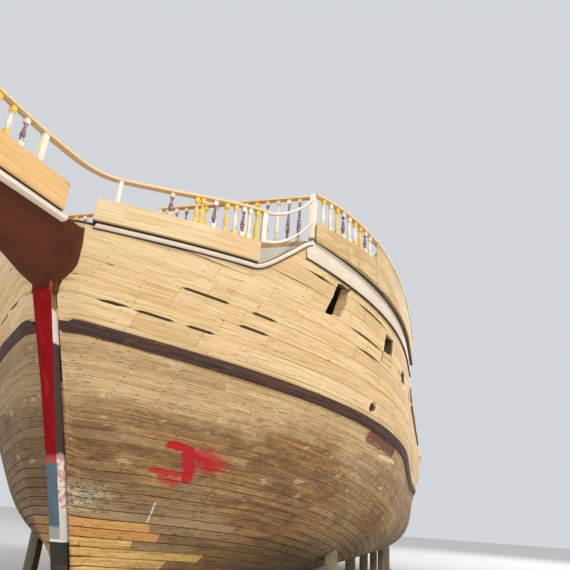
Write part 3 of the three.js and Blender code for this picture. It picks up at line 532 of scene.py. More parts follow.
chalk_mark = capsule(f, place, (9.34, 1.85), (9.25, 1.57), 0.012, 1.6)
colour = f.blend(chalk_mark * 0.75, colour, paint(225, 225, 215))
grit = f.noise(place, (60, 60, 60), 3.0, 0.6)
below_wale = f.finish(colour, 0.7 + streak * 0.2, streak * 0.6 + grit * 0.3 + band * 0.5, 0.012, 0.5)


def both_sides(piece, node=""):
    """Settles a port piece and its copy to starboard, in place of the nodes of both sides if one is named."""
    twin = other_side(piece, piece.name[:-4] + "starboard")
    settle([piece, twin])
    if node:
        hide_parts(node)
        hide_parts(node[:-4] + "starboard")


wear([planking], below_wale)
both_sides(planking)

# Hull carcass: the frames and the old sheathing that the planks are nailed to.
# It is coloured dark brown, and shows only in the seams and through the ports.

f = Finish("tarred_carcass", 0.85)
place = f.place()
carcass_mottle = f.noise(place, (3, 3, 9), 5.0, 0.6)
carcass = f.finish(f.blend(carcass_mottle, paint(92, 66, 42), paint(58, 40, 26)), None, carcass_mottle, 0.01, 0.5)
wear([nodes["hull"]], carcass)

# Topside planking above the wale: new pale softwood, planed flush, in strakes a hand and a half wide.
# It runs up to the trim of each deck, with a few seams still open and ports cut through by saw.


# where forecastle, castle and poop end
FORE_END, CASTLE_FRONT, POOP_FRONT = 3.2, -2.6, -7.6
# heights of the planking at bow and forecastle, then of waist, quarterdeck, castle and poop above the wale
BOW_TOP, FORE_TOP = 5.54, 5.72
WAIST_UP, QUARTER_UP, CASTLE_UP, POOP_UP = 1.47, 2.6, 3.5, 4.75
SWOOP = [(10.06, BOW_TOP), (10.01, 5.55), (9.965, 5.585), (9.92, 5.635), (9.87, 5.70), (9.816, 5.779),
         (9.755, 5.87), (9.69, 5.965), (9.64, 6.045), (9.59, 6.12), (9.54, 6.17), (9.49, 6.202)]


def top_line(x):
    """Height of the top of the planking."""
    if x > SWOOP[0][0]:
        return BOW_TOP
    if x > SWOOP[-1][0]:
        for (xa, za), (xb, zb) in zip(SWOOP, SWOOP[1:]):
            if xb <= x <= xa:
                return mix(za, zb, (xa - x) / (xa - xb))
    if x > FORE_END:
        return FORE_TOP + 0.0122 * (x - FORE_END) ** 2
    if x > CASTLE_FRONT:
        return wale_z(x) + WAIST_UP
    if x > POOP_FRONT:
        return wale_z(x) + CASTLE_UP
    return wale_z(x) + POOP_UP


def runs_of(xs, fits):
    """Unbroken runs of stations that pass a test."""
    runs, run = [], []
    for x in xs:
        if fits(x):
            run.append(x)
        elif run:
            runs.append(run)
            run = []
    return [r for r in [*runs, run] if len(r) > 2]


def bands_of(height):
    """Stations from bow to stern of a strake whose lower edge is a height above the wale."""
    front, back = 11.2, -13.3
    for _ in range(12):
        front = bow_x(wale_z(front) + height)
        back = stern_x(wale_z(back) + height)
    xs = [mix(front, 11.0, t) for t in (0, 0.05, 0.12, 0.22, 0.35, 0.5, 0.66, 0.83)] if front > 11.05 else []
    xs += [10.99 - 0.055 * i for i in range(28)]
    xs += sorted([9.4 - 0.3 * i for i in range(75) if 9.4 - 0.3 * i > -12.9]
                 + [3.205, 3.195, -2.595, -2.605, -7.595, -7.605], reverse=True)
    xs += [mix(-12.9, back, 0.5), back]
    return runs_of(xs, lambda x: top_line(x) - wale_z(x) - height > 0.012)


# seam number above the wale: where it stands open, from x to x
OPEN_SEAMS = {2: [(11.08, 10.88), (10.78, 10.47), (10.32, 10.01)], 3: [(9.8, 9.5)], 5: [(7.9, 7.1)],
              4: [(10.58, 10.09), (9.77, 9.5)], 6: [(8.05, 7.0), (6.0, 5.3)], 8: [(9.3, 8.9), (8.1, 7.0)]}


def seam(x, number):
    for a, b in OPEN_SEAMS.get(number, []):
        if b < x < a:
            return 0.046
    return 0.0025 if x > 9.3 else 0.007


# top of the first strake above the wale, and the breadth of those over it
FIRST, PITCH = 0.175, 0.245
upper = []
for row in range(21):
    low_up = 0.065 if row == 0 else FIRST + PITCH * (row - 1)
    high_up = FIRST + PITCH * row
    for run in bands_of(low_up):
        out = [0.022 * smooth(1 - abs(run[0] - x - 0.4) / 0.6) for x in run]
        ahead = [0.12 * (run[0] > 10.5) * (1 - smooth((run[0] - x) / 0.8)) for x in run]
        low = [side(x, wale_z(x) + low_up, o) for x, o in zip(run, out)]
        high = [side(x + a, min(wale_z(x + a) + high_up, top_line(x + a)), o)
                for x, o, a in zip(run, out, ahead)]
        gaps = [(seam(x, row), seam(x, row + 1)) for x in run]
        upper += strake(low, high, gaps, butt_places(len(run), rng.randint(9, 22), 10, 17),
                        lambda a, b, n: plank(a, b, rng.random() * 40, tint=rng.random(), fresh=rng.random()))
topside = merge("topside_planking_port", upper)
apply(topside, "SOLIDIFY", thickness=0.04, offset=-0.35)
ease(topside, 0.0022, 1, 50)


def outline_cutter(points, centre, depth):
    """Prism with the outline of an opening, through the side at a place; points are x and z about it."""
    bpy.ops.mesh.primitive_circle_add(vertices=len(points), radius=1, fill_type="NGON")
    cutter = bpy.context.active_object
    set_points(cutter.data, [(centre.x + x, centre.y - depth, centre.z + z) for x, z in points])
    bpy.ops.object.mode_set(mode="EDIT")
    bpy.ops.mesh.select_all(action="SELECT")
    bpy.ops.mesh.extrude_region_move(TRANSFORM_OT_translate={"value": (0, 2 * depth, 0)})
    bpy.ops.object.mode_set(mode="OBJECT")
    return faced(cutter)


def rectangle(width, height, ragged=0.0, per_side=1):
    w, h = width / 2, height / 2
    corners = [(-w, -h), (w, -h), (w, h), (-w, h)]
    points = []
    for (xa, za), (xb, zb) in zip(corners, corners[1:] + corners[:1]):
        for k in range(per_side):
            points.append((mix(xa, xb, k / per_side) + rng.uniform(-ragged, ragged) * 0.7,
                           mix(za, zb, k / per_side) + rng.uniform(-ragged, ragged)))
    return points


def cut_with(piece, cutters):
    """Cuts shapes out of a piece and takes them away."""
    tool = merge("tool", cutters)
    select_only(piece)
    bpy.ops.object.modifier_add(type="BOOLEAN")
    modifier = piece.modifiers[-1]
    modifier.operation, modifier.object, modifier.solver = "DIFFERENCE", tool, "EXACT"
    bpy.ops.object.modifier_apply(modifier=modifier.name)
    bpy.data.objects.remove(tool)
    return piece


# x of the middle, width, height, drop below the line of ports, raggedness of the sawn edge
PORTS = [(8.6, 0.36, 0.56, 0.0, 0.04), (6.78, 0.46, 0.38, 0.065, 0.02), (5.5, 0.36, 0.27, 0.28, 0.015),
         (4.15, 0.28, 0.27, 0.28, 0.015)]
PORT_UP = 1.72
port_cutters = []
for x, width, height, drop, ragged in PORTS:
    middle = side(x, wale_z(x) + PORT_UP - drop)
    port_cutters.append(outline_cutter(rectangle(width, height, ragged, 4), middle, 0.3))
# rows of castle windows: first x, pitch, count, width, height, height above the wale
WINDOWS = [(-4.3, -1.65, 6, 0.62, 0.64, 1.65), (-8.9, -1.5, 3, 0.56, 0.62, 3.76)]
window_places = [(x0 + k * pitch, wale_z(x0 + k * pitch) + up, width, height)
                 for x0, pitch, count, width, height, up in WINDOWS for k in range(count)]
for x, z, width, height in window_places:
    port_cutters.append(outline_cutter(rectangle(width, height), side(x, z), 0.3))
scupper = [(0.105 * math.cos(a * math.pi / 8), 0.1 * math.sin(a * math.pi / 8) * (1.06 if a == 4 else 0.96))
           for a in range(16)]
port_cutters.append(outline_cutter(scupper, side(7.0, 3.868), 0.2))
cut_with(topside, port_cutters)
smoothed(topside, 30)

f = Finish("planks_above_wale", 0.75)
tint, board, place = f.number("tint"), f.board(), f.place()
streak, band = grain(f, board, tint)
length = f.axis(place, "X")
mottle = f.noise(place, (1.4, 1.4, 2.6), 5.0, 0.6, 0.4)
colour = f.blend(f.ramp(streak, 0.36, 0.66), paint(238, 212, 164), paint(204, 168, 114))
colour = f.blend(f.ramp(band, 0.46, 0.7) * 0.6, colour, paint(206, 164, 104))
colour = f.blend(f.ramp(mottle, 0.46, 0.66) * 0.35, colour, paint(236, 202, 168))
colour = f.blend(f.ramp(tint, 0.7, 1.0) * 0.3, colour, paint(190, 146, 98))
colour = f.blend(f.ramp(tint, 0.3, 0.0) * 0.3, colour, paint(246, 226, 186))
colour = f.blend(f.ramp(length, -2.0, -8.0) * 0.25, colour, paint(190, 160, 118))
knot = f.knots(board, (1.6, 6.5, 1.0))
colour = f.blend(f.ramp(knot, 0.11, 0.05) * 0.8, colour, paint(130, 84, 48))
crack = f.ramp(f.noise(place, (2.2, 2.2, 60), 4.0, 0.7), 0.6, 0.67)
colour = f.blend(crack * 0.6, colour, paint(140, 98, 60))
colour = f.blend(nails(f, place, board, 0.43, 0.07, 0.01) * 0.7, colour, paint(96, 66, 42))
# Painted shade: the sawn sides of the ports are darkened, as if the port's inside lay in shadow.
port_jamb_shade = f.ramp(abs(f.facing("X")), 0.8, 0.92) * f.ramp(abs(length - 5.7), 2.3, 2.2)
colour = f.blend(port_jamb_shade * 0.85, colour, paint(70, 46, 30))
above_wale = f.finish(colour, 0.66 + streak * 0.2, streak * 0.5 + band * 0.4 + crack * -0.8, 0.008, 0.4)
wear([topside], above_wale)
both_sides(topside)

# Inner faces of the topsides, castle and bulkheads: the same softwood in boards, nailed on inside.
# Where the outer planks cover a solid, and in the sides of the ports, it is darkened as painted shade.


def boards(name, along, across, width, light, dark, length=3.4, seam=0.003, line=(70, 48, 30), roughness=0.72,
           painted_shade=None):
    """Boards laid along one axis, each with its own tint and grain, their joints cut as fine grooves. The
    last argument gives a mask of the faces darkened as painted shade: behind other timber, in ports' sides or
    underneath."""
    f = Finish(name, roughness)
    place = f.place()
    run, cross = f.axis(place, along), f.axis(place, across)
    row = (cross / width).floor()
    lot = f.add("TexWhiteNoise", {"noise_dimensions": "1D"}, {"W": row + 0.37}, output="Value")
    step = run / length + lot * 7.0
    own = f.add("TexWhiteNoise", {"noise_dimensions": "2D"}, {"Vector": f.vector(row, step.floor())},
                output="Value")
    streak, band = grain(f, f.vector(run, cross), own)
    colour = f.blend(streak, paint(*light), paint(*dark))
    colour = f.blend(f.ramp(band, 0.5, 0.8) * 0.5, colour, paint(*[c * 0.82 for c in dark]))
    colour = f.blend(own * 0.3, colour, paint(*[c * 0.72 for c in dark]))
    side_gap = f.ramp(abs((cross / width).fraction() - 0.5) * width, width / 2 - seam, width / 2 - seam * 0.4)
    end_gap = f.ramp(abs(step.fraction() - 0.5) * length, length / 2 - seam, length / 2 - seam * 0.4)
    groove = side_gap.most(end_gap)
    use = f.noise(place, (5, 5, 5), 5.0, 0.65)
    colour = f.blend(f.ramp(use, 0.56, 0.7) * 0.25, colour, paint(*[c * 0.7 for c in dark]))
    colour = f.blend(groove * 0.9, colour, paint(*line))
    # Painted shade: the masked faces take a dark brown mottle.
    if painted_shade:
        colour = f.blend(painted_shade(f) * 0.92, colour, f.blend(use, paint(66, 44, 28), paint(42, 28, 19)))
    return f.finish(colour, roughness + streak * 0.15, streak * 0.25 + groove * -1.0, 0.008, 0.6)


# Mask of painted shade: outer faces behind the planks, seen in the open seams, and the sides of the ports.
def seam_and_port_shade(f):
    place = f.place()
    outer = f.ramp(f.axis(place, "Y") * f.facing("Y"), 0.05, 0.2)
    jamb = f.ramp(abs(f.facing("X")), 0.35, 0.6) * f.ramp(abs(f.axis(place, "X") - 5.7), 2.3, 2.2)
    return outer.most(jamb)


inner_boards = boards("inner_boards", "X", "Z", 0.2, (224, 192, 142), (190, 150, 100), painted_shade=seam_and_port_shade)
cross_boards = boards("cross_boards", "Z", "Y", 0.16, (226, 194, 146), (196, 158, 108))


def wear_nodes(material, *names):
    wear([nodes[name] for name in names], material)


wear_nodes(inner_boards, "bow_topside", "forecastle_side_port", "forecastle_side_starboard",
           "castle_side_port", "castle_side_starboard")
wear_nodes(cross_boards, "forecastle_bulkhead", "castle_bulkhead", "poop_bulkhead")

# Wales: the heavy rubbing strakes at the main deck, of dark hardwood in scarfed lengths.
# They are bolted through the planks to the frames.


def tube(rows, start=0.0, **marks):
    """Closed skin over rings of points; its UV is in metres, along and round."""
    count, sides = len(rows), len(rows[0])
    bpy.ops.mesh.primitive_grid_add(x_subdivisions=count - 1, y_subdivisions=sides, size=1)
    piece = bpy.context.active_object
    mesh = piece.data
    where = [(round((v.co.x + 0.5) * (count - 1)), round((v.co.y + 0.5) * sides)) for v in mesh.vertices]
    set_points(mesh, [rows[col][row % sides] for col, row in where])
    reach = [start]
    for a, b in zip(rows, rows[1:]):
        reach.append(reach[-1] + (b[0] - a[0]).length)
    round_ = [0.0]
    ring = rows[count // 2]
    for k in range(sides):
        round_.append(round_[-1] + (ring[(k + 1) % sides] - ring[k]).length)
    for loop, uv in zip(mesh.loops, mesh.uv_layers.active.data):
        col, row = where[loop.vertex_index]
        uv.uv = (reach[col], round_[row])
    mark(mesh, **marks)
    bpy.ops.object.mode_set(mode="EDIT")
    bpy.ops.mesh.select_all(action="SELECT")
    bpy.ops.mesh.remove_doubles(threshold=1e-5)
    bpy.ops.mesh.fill_holes(sides=0)
    bpy.ops.mesh.select_all(action="SELECT")
    bpy.ops.mesh.normals_make_consistent(inside=False)
    bpy.ops.object.mode_set(mode="OBJECT")
    return piece


def spread(a, b, count):
    return [mix(a, b, i / count) for i in range(count + 1)]


WALE_RING = [(-0.03, -0.085), (0.062, -0.085), (0.074, -0.074), (0.078, 0.0), (0.074, 0.074), (0.062, 0.085),
             (-0.03, 0.085)]
wale_xs = [11.19, 11.13, 11.06, 10.98, 10.88, 10.76, 10.62, 10.46, 10.28, 10.08, *spread(9.85, -13.2, 76),
           -13.33]
wale_parts = []
scarfs = [0, 22, 38, 53, 68, len(wale_xs) - 1]
for i, j in zip(scarfs, scarfs[1:]):
    xs = wale_xs[i:j + 1]
    xs = [xs[0] - 0.002, *xs[1:-1], xs[-1] + 0.002]
    rows = [[side(x, wale_z(x) + up, out) for out, up in WALE_RING] for x in xs]
    wale_parts.append(tube(rows, rng.random() * 30, tint=rng.random()))
wale = smoothed(merge("wale_timber_port", wale_parts), 50)
f = Finish("dark_hardwood", 0.7)
tint, board, place = f.number("tint"), f.board(), f.place()
streak, band = grain(f, board, tint)
colour = f.blend(f.ramp(streak, 0.36, 0.64), paint(84, 54, 38), paint(38, 24, 18))
colour = f.blend(f.ramp(band, 0.5, 0.75) * 0.5, colour, paint(104, 70, 50))
chalk = f.ramp(f.noise(place, (5, 5, 26), 5.0, 0.72), 0.54, 0.66)
colour = f.blend(chalk * 0.45, colour, paint(128, 92, 66))
hardwood = f.finish(colour, 0.6 + streak * 0.25, streak * 0.6 + chalk * 0.3, 0.01, 0.6)
wear([wale], hardwood)
both_sides(wale, "wale_port")

# Stem: one heavy timber before the planks, its face painted red down to a primed foot.
# Its sides are bare and dark, with white lead where the planks' ends were stopped.


def eased(node, name, edge, segments=2, degrees=30, flats=True):
    """Copy of a solid with its edges eased, and its flats joined where they are simple."""
    mesh = nodes[node].data.copy()
    copy = bpy.data.objects.new(name, mesh)
    mesh.name = name
    bpy.context.scene.collection.objects.link(copy)
    select_only(copy)
    bpy.ops.object.mode_set(mode="EDIT")
    bpy.ops.mesh.select_all(action="SELECT")
    bpy.ops.mesh.remove_doubles(threshold=1e-5)
    if flats:
        bpy.ops.mesh.dissolve_limited(angle_limit=math.radians(1.5))
    bpy.ops.mesh.normals_make_consistent(inside=False)
    bpy.ops.object.mode_set(mode="OBJECT")
    ease(copy, edge, segments, degrees)
    return smoothed(copy, degrees)


def split_faces(piece, test, index):
    """Puts the faces that pass a test on another material of the piece."""
    for face in piece.data.polygons:
        if test(face):
            face.material_index = index


stem = eased("stem", "stem_timber", 0.012)
f = Finish("stem_face_paint", 0.55)
place = f.place()
height = f.axis(place, "Z")
dirt = f.noise(place, (6, 6, 3), 5.0, 0.65)
red = f.blend(dirt, paint(158, 10, 18), paint(118, 8, 16))
red = f.blend(f.ramp(f.noise(place, (4, 9, 2.2), 4.0, 0.6), 0.52, 0.66) * 0.4, red, paint(178, 48, 50))
red = f.blend(f.ramp(height, 2.42, 2.34) * 0.45, red, paint(205, 120, 112))
primer = f.blend(dirt, paint(106, 126, 142), paint(78, 98, 112))
pale = f.blend(dirt, paint(186, 190, 184), paint(156, 162, 158))
wobble = (dirt - 0.5) * 0.03
colour = f.blend(f.ramp(height + wobble, 2.285, 2.275), red, primer)
colour = f.blend(f.ramp(height + wobble, 1.46, 1.4), colour, pale)
colour = f.blend(f.ramp(height, 1.262, 1.258), colour, paint(236, 236, 228))
chip = f.ramp(f.noise(place, (22, 22, 14), 4.0, 0.7), 0.68, 0.72)
colour = f.blend(chip * 0.7, colour, paint(168, 140, 120))
f.surface.inputs["Specular IOR Level"].default_value = 0.12
stem_face = f.finish(colour, 0.65 + dirt * 0.2, dirt * 0.3 + chip * -0.6, 0.008, 0.5)
f = Finish("stem_side_timber", 0.75)
place = f.place()
height = f.axis(place, "Z")
streak, band = grain(f, f.vector(height, f.axis(place, "X")), 0.3)
colour = f.blend(streak, paint(142, 112, 76), paint(104, 76, 50))
dark = f.blend(streak, paint(74, 58, 48), paint(48, 38, 34))
rough = f.noise(place, (7, 7, 9), 5.0, 0.65)
colour = f.blend(f.ramp(height + rough * 0.1, 4.02, 3.94), colour, dark)
lead = f.ramp(height + rough * 0.12, 3.92, 3.98) * f.ramp(height + rough * 0.12, 4.42, 4.36)
colour = f.blend(lead * 0.9, colour, paint(232, 222, 212))
smear = f.ramp(f.noise(place, (9, 9, 12), 5.0, 0.7), 0.48, 0.56)
foot = f.blend(smear, paint(226, 222, 214), paint(204, 142, 138))
colour = f.blend(f.ramp(height + rough * 0.16, 2.52, 2.44), colour, foot)
colour = f.blend(f.ramp(height + rough * 0.06, 1.72, 1.62), colour, paint(206, 208, 202))
stem_side = f.finish(colour, 0.7 + streak * 0.15, streak * 0.4 + rough * 0.3, 0.008, 0.5)
wear([stem], stem_face, stem_side)
split_faces(stem, lambda face: abs(face.normal.y) > 0.75, 1)
settle([stem], instead=["stem"])

# Keel, forefoot and sternpost: square hardwood, scarfed and bolted end to end.
# The forefoot is tarred black below a white line.

keel = eased("keel", "keel_timber", 0.014)
f = Finish("tarred_keel", 0.6)
place = f.place()
streak, band = grain(f, place, 0.2)
worn = f.noise(place, (2.5, 2.5, 7), 5.0, 0.66)
colour = f.blend(streak, paint(52, 46, 38), paint(30, 27, 22))
colour = f.blend(f.ramp(worn, 0.54, 0.7) * 0.6, colour, paint(88, 76, 60))
colour = f.blend(f.ramp(f.axis(place, "Z"), 1.222, 1.226) * f.ramp(f.axis(place, "X"), 9.0, 9.2), colour,
                 paint(232, 232, 224))
wear([keel], f.finish(colour, 0.55 + worn * 0.3, streak * 0.5 + worn * 0.5, 0.012, 0.6))
settle([keel], instead=["keel"])

# Beak head: the hollow-sided knee under the platform, bolted to the stem.
# It is closed with narrow boards and painted dark red-brown.

beak = eased("beak_head", "beak_knee", 0.010)
f = Finish("beak_underside_paint", 0.6)
place = f.place()
streak, band = grain(f, place, 0.6)
line = f.ramp(abs((f.axis(place, "Z") / 0.14 + f.axis(place, "X") * 0.1).fraction() - 0.5), 0.485, 0.497)
stain = f.noise(place, (1.2, 1.2, 2.4), 5.0, 0.62)
f.surface.inputs["Specular IOR Level"].default_value = 0.2
colour = f.blend(streak, paint(106, 56, 32), paint(76, 36, 21))
colour = f.blend(f.ramp(stain, 0.45, 0.68) * 0.6, colour, paint(62, 32, 22))
colour = f.blend(line * 0.7, colour, paint(34, 20, 14))
beak_paint = f.finish(colour, 0.5 + stain * 0.3, streak * 0.3 + line * -0.8, 0.008, 0.5)
wear([beak], beak_paint)
settle([beak], instead=["beak_head"])

# White trims: sawn battens nailed over the planks' edges along the decks, up the swoop and round the beak.
# Along the forecastle it is a flat board; dark strips along the battens and the board are painted shadow
# lines above and below them.


def white_paint():
    f = Finish("white_primer", 0.55)
    place = f.place()
    soft = f.noise(place, (3, 3, 3), 5.0, 0.6)
    nicks = f.ramp(f.noise(place, (24, 24, 24), 4.0, 0.7), 0.66, 0.71)
    colour = f.blend(soft, paint(244, 234, 218), paint(222, 204, 184))
    colour = f.blend(f.ramp(f.noise(place, (1.2, 1.2, 1.2), 4.0, 0.6), 0.5, 0.7) * 0.5, colour,
                     paint(230, 198, 180))
    colour = f.blend(nicks * 0.75, colour, paint(196, 154, 108))
    return f.finish(colour, 0.5 + soft * 0.25, soft * 0.3 + nicks * -0.5, 0.004, 0.5)


white = white_paint()
bow_path = [(mix(11.645, SWOOP[0][0], t ** 1.4), BOW_TOP) for t in spread(0, 1, 22)][:-1] + SWOOP
fore_path = [(x, top_line(x)) for x in spread(9.48, 3.205, 32)]


def moulding(path, ring, **marks):
    """Batten on the side along points x, z; the ring gives how far out and how far up across the batten."""
    rows = []
    for i, (x, z) in enumerate(path):
        xa, za = path[max(i - 1, 0)]
        xb, zb = path[min(i + 1, len(path) - 1)]
        long = math.hypot(xb - xa, zb - za)
        rows.append([side(x + up * (zb - za) / long, z - up * (xb - xa) / long, out) for out, up in ring])
    return tube(rows, **marks)


BATTEN = [(-0.03, -0.033), (0.058, -0.033), (0.071, -0.026), (0.077, -0.008), (0.077, 0.01), (0.069, 0.026),
          (0.056, 0.033), (-0.03, 0.033)]
SHADOW_STRIP = [(-0.03, -0.05), (0.046, -0.05), (0.05, -0.045), (0.05, 0.045), (0.046, 0.05), (-0.03, 0.05)]
FLAT_BOARD = [(-0.02, -0.153), (0.036, -0.153), (0.042, -0.147), (0.042, 0.147), (0.036, 0.153),
              (-0.02, 0.153)]


def raised(path, up):
    return [(x, z + up) for x, z in path]


trims = [moulding(bow_path, BATTEN), moulding([(9.53, 6.07), *raised(fore_path, -0.108)], FLAT_BOARD)]
# Painted shadow: dark hardwood strips showing as lines above and below the battens and the flat board.
thin_shadow_strip = [(out, up * 0.24) for out, up in SHADOW_STRIP]
shadow_strip_parts = [moulding(bow_path, SHADOW_STRIP)]
shadow_strip_parts += [moulding(raised(fore_path, up), thin_shadow_strip) for up in (0.055, -0.272)]
shadow_strips = smoothed(merge("sheer_fillets_port", shadow_strip_parts), 45)
wear([shadow_strips], hardwood)
both_sides(shadow_strips)
sheer = smoothed(merge("sheer_batten_port", trims), 45)
wear([sheer], white)
both_sides(sheer, "sheer_trim_port")

# Cheeks of the beak head: a rounded timber bent down each side where its boards meet the planking.
# They are bolted to the bow and carry the beak's paint.

CHEEK = [(-0.03, -0.045), (0.045, -0.045), (0.06, -0.03), (0.066, 0.0), (0.06, 0.03), (0.045, 0.045),
         (-0.03, 0.045)]
cheek_path = [(11.745, 5.46), (11.71, 5.37), (11.66, 5.24), (11.615, 5.10), (11.575, 4.97), (11.545, 4.86),
              (11.525, 4.76), (11.51, 4.66), (11.50, 4.56)]
cheek = named(smoothed(moulding(cheek_path, CHEEK), 45), "beak_cheek_port")
wear([cheek], beak_paint)
both_sides(cheek)

# Beak trim: a white batten bent round the edge of the beak's platform and nailed to it.
# Panel, rail and deck of the beak follow the same outline in plan.

BEAK_ROOT = 12.25
BEAK_ROUND, BEAK_TIP = 14.2, 14.5


def beak_half(x):
    flat = 0.56 - 0.145 * (min(x, BEAK_ROUND) - 12)
    return flat * math.sqrt(max(1 - (max(x - BEAK_ROUND, 0) / (BEAK_TIP - BEAK_ROUND)) ** 2, 0))


def beak_line(root, out, z):
    """Points round the beak, from its port root by the tip to starboard, moved outward."""
    xs = [root, *[v for v in spread(12.3, 14.0, 11) if v > root + 0.05], 14.1, BEAK_ROUND]
    xs += [BEAK_ROUND + 0.3 * math.sin(a) for a in spread(0, math.pi / 2, 7)[1:-1]]
    half = [(x, beak_half(x)) for x in xs]
    line = half + [(BEAK_TIP, 0.0)] + [(x, -y) for x, y in reversed(half)]
    points = []
    for i, (x, y) in enumerate(line):
        xa, ya = line[max(i - 1, 0)]
        xb, yb = line[min(i + 1, len(line) - 1)]
        long = math.hypot(xb - xa, yb - ya)
        points.append(Vector((x - out * (yb - ya) / long, y + out * (xb - xa) / long, z)))
    return points


def sweep(path, ring, start=0.0, **marks):
    """Bar along a path; the ring gives how far to the left of the path and how far up."""
    rows = []
    for i, p in enumerate(path):
        turns = []
        for a, b in ((i - 1, i), (i, i + 1)):
            if a >= 0 and b < len(path):
                d = path[b] - path[a]
                long = math.hypot(d.x, d.y) or 1e-9
                turns.append(Vector((-d.y / long, d.x / long, 0)))
        n = turns[0] if len(turns) == 1 else (turns[0] + turns[1]) / (1 + turns[0].dot(turns[1]))
        rows.append([p + n * left + Vector((0, 0, up)) for left, up in ring])
    return tube(rows, start, **marks)


EDGE_BATTEN = [(-0.03, -0.045), (0.052, -0.045), (0.068, -0.03), (0.068, 0.03), (0.05, 0.045), (-0.03, 0.045)]
trim = named(smoothed(sweep(beak_line(BEAK_ROOT - 0.12, 0, 5.41), EDGE_BATTEN), 45), "beak_batten")
wear([trim], white)
settle([trim], instead=["beak_trim"])

# Bulwark panels: level boards on the beak and the bow, and sheets of ply along the forecastle.
# They are nailed up on a covering board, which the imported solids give.

f = Finish("bulwark_boards", 0.6)
tint, board, place = f.number("tint"), f.board(), f.place()
streak, band = grain(f, board, tint)
colour = f.blend(f.ramp(streak, 0.34, 0.66), paint(224, 205, 166), paint(204, 176, 128))
colour = f.blend(f.ramp(band, 0.42, 0.68) * 0.55, colour, paint(206, 158, 100))
bleach = f.noise(place, (0.8, 0.8, 3.2), 4.0, 0.6)
colour = f.blend(f.ramp(bleach, 0.5, 0.7) * 0.4, colour, paint(244, 224, 190))
colour = f.blend(f.number("orange") * 0.5, colour, paint(226, 164, 72))
bulwark_boards = f.finish(colour, 0.55 + streak * 0.2, streak * 0.5 + band * 0.3, 0.006, 0.4)
f = Finish("ply_sheets", 0.6)
tint, board, place = f.number("tint"), f.board(), f.place()
moved = f.add("VectorMath", {"operation": "ADD"}, {0: board, 1: f.vector(tint * 31.0, tint * 17.0)})
flame = f.noise(moved, (1.0, 5.0, 5.0), 3.0, 0.5, 1.6)
veins = f.noise(moved, (2.0, 30.0, 30.0), 5.0, 0.6, 0.8)
colour = f.blend(f.ramp(flame, 0.4, 0.62), paint(212, 190, 146), paint(190, 158, 108))
colour = f.blend(veins * 0.4, colour, paint(190, 144, 90))
knot = f.knots(moved, (2.4, 3.6, 1.0))
colour = f.blend(f.ramp(knot, 0.09, 0.04) * 0.85, colour, paint(120, 74, 40))
stain = f.noise(place, (1.2, 1.2, 2.2), 5.0, 0.62)
colour = f.blend(f.ramp(f.axis(place, "X") + stain * 2.0, 5.1, 3.9) * 0.6, colour, paint(96, 68, 50))
ply = f.finish(colour, 0.55 + veins * 0.2, flame * 0.5 + veins * 0.3, 0.004, 0.4)


def upright(xs, plan_z, out, low, high):
    """Edges of an upright board on the plan line of the side at one height; low and high depend on x."""
    points = [side(x, plan_z, out) for x in xs]
    return ([Vector((p.x, p.y, low(x))) for p, x in zip(points, xs)],
            [Vector((p.x, p.y, high(x))) for p, x in zip(points, xs)])


def panel(name, parts):
    """Panel of thin boards, joined, with their thickness and eased edges."""
    piece = apply(merge(name, parts), "SOLIDIFY", thickness=0.018, offset=0.4)
    return smoothed(ease(piece, 0.002, 1, 50))


FINE_SEAM = 0.0022
BOW_PANEL_OUT = 0.127
bow_xs = [11.674, 11.62, 11.56, 11.5, 11.42, 11.33, 11.23, 11.12, 11.0, 10.87, 10.73, 10.58, 10.4, 10.22,
          10.04]
bow_rows = [5.6, 5.72, 5.84, 5.96]
panels = []
for low_z, high_z in zip(bow_rows, bow_rows[1:]):
    low, high = upright(bow_xs[4:], BOW_TOP, BOW_PANEL_OUT, lambda x, z=low_z: z, lambda x, z=high_z: z)
    panels += strake(low, high, FINE_SEAM, [], sawn(orange=0.12))
low, high = upright(bow_xs[:5], BOW_TOP, BOW_PANEL_OUT, lambda x: bow_rows[0], lambda x: bow_rows[-1])
panels += strake(low, high, FINE_SEAM, [], sawn(orange=0.0))
bow_panel = panel("bow_bulwark_boards_port", panels)
wear([bow_panel], bulwark_boards)
both_sides(bow_panel)

beak_rows = [5.475, 5.615, 5.753, 5.89]
beak_points = beak_line(BEAK_ROOT, 0.103, 0.0)
fine_points = []
for i, (a, b) in enumerate(zip(beak_points, beak_points[1:])):
    splits = 5 if min(i, len(beak_points) - 2 - i) < 2 else 1
    fine_points += [a.lerp(b, k / splits) for k in range(splits)]
fine_points.append(beak_points[-1])
fine_reach = [0.0]
for a, b in zip(fine_points, fine_points[1:]):
    fine_reach.append(fine_reach[-1] + (b - a).length)


CORNER_ROUND = 0.22


def rounded_top(d):
    """Height of the beak's panel at a distance from its after edge, where the corner is rounded."""
    e = min(d, fine_reach[-1] - d)
    if e > CORNER_ROUND:
        return beak_rows[-1]
    drop = math.sqrt(max(CORNER_ROUND ** 2 - (CORNER_ROUND - e) ** 2, 0.0))
    return beak_rows[-1] - CORNER_ROUND + drop


panels = []
for low_z, high_z in zip(beak_rows, beak_rows[1:]):
    keep = [(p, rounded_top(d)) for p, d in zip(fine_points, fine_reach) if rounded_top(d) > low_z + 0.012]
    low = [Vector((p.x, p.y, low_z)) for p, top in keep]
    high = [Vector((p.x, p.y, min(high_z, top))) for p, top in keep]
    panels += strake(low, high, FINE_SEAM, [], sawn(orange=1.0))
beak_panel = panel("beak_bulwark_boards", panels)
wear([beak_panel], bulwark_boards)
settle([beak_panel])

# heights of the forecastle's rail and panel, and the height whose plan line they follow
RAIL_TOP, PANEL_TOP, FORE_PLAN_Z = 7.2, 6.575, 6.15


def fore_rail_z(x):
    return RAIL_TOP - 0.75 * (1 - smooth((x - 4.9) / 4.6))


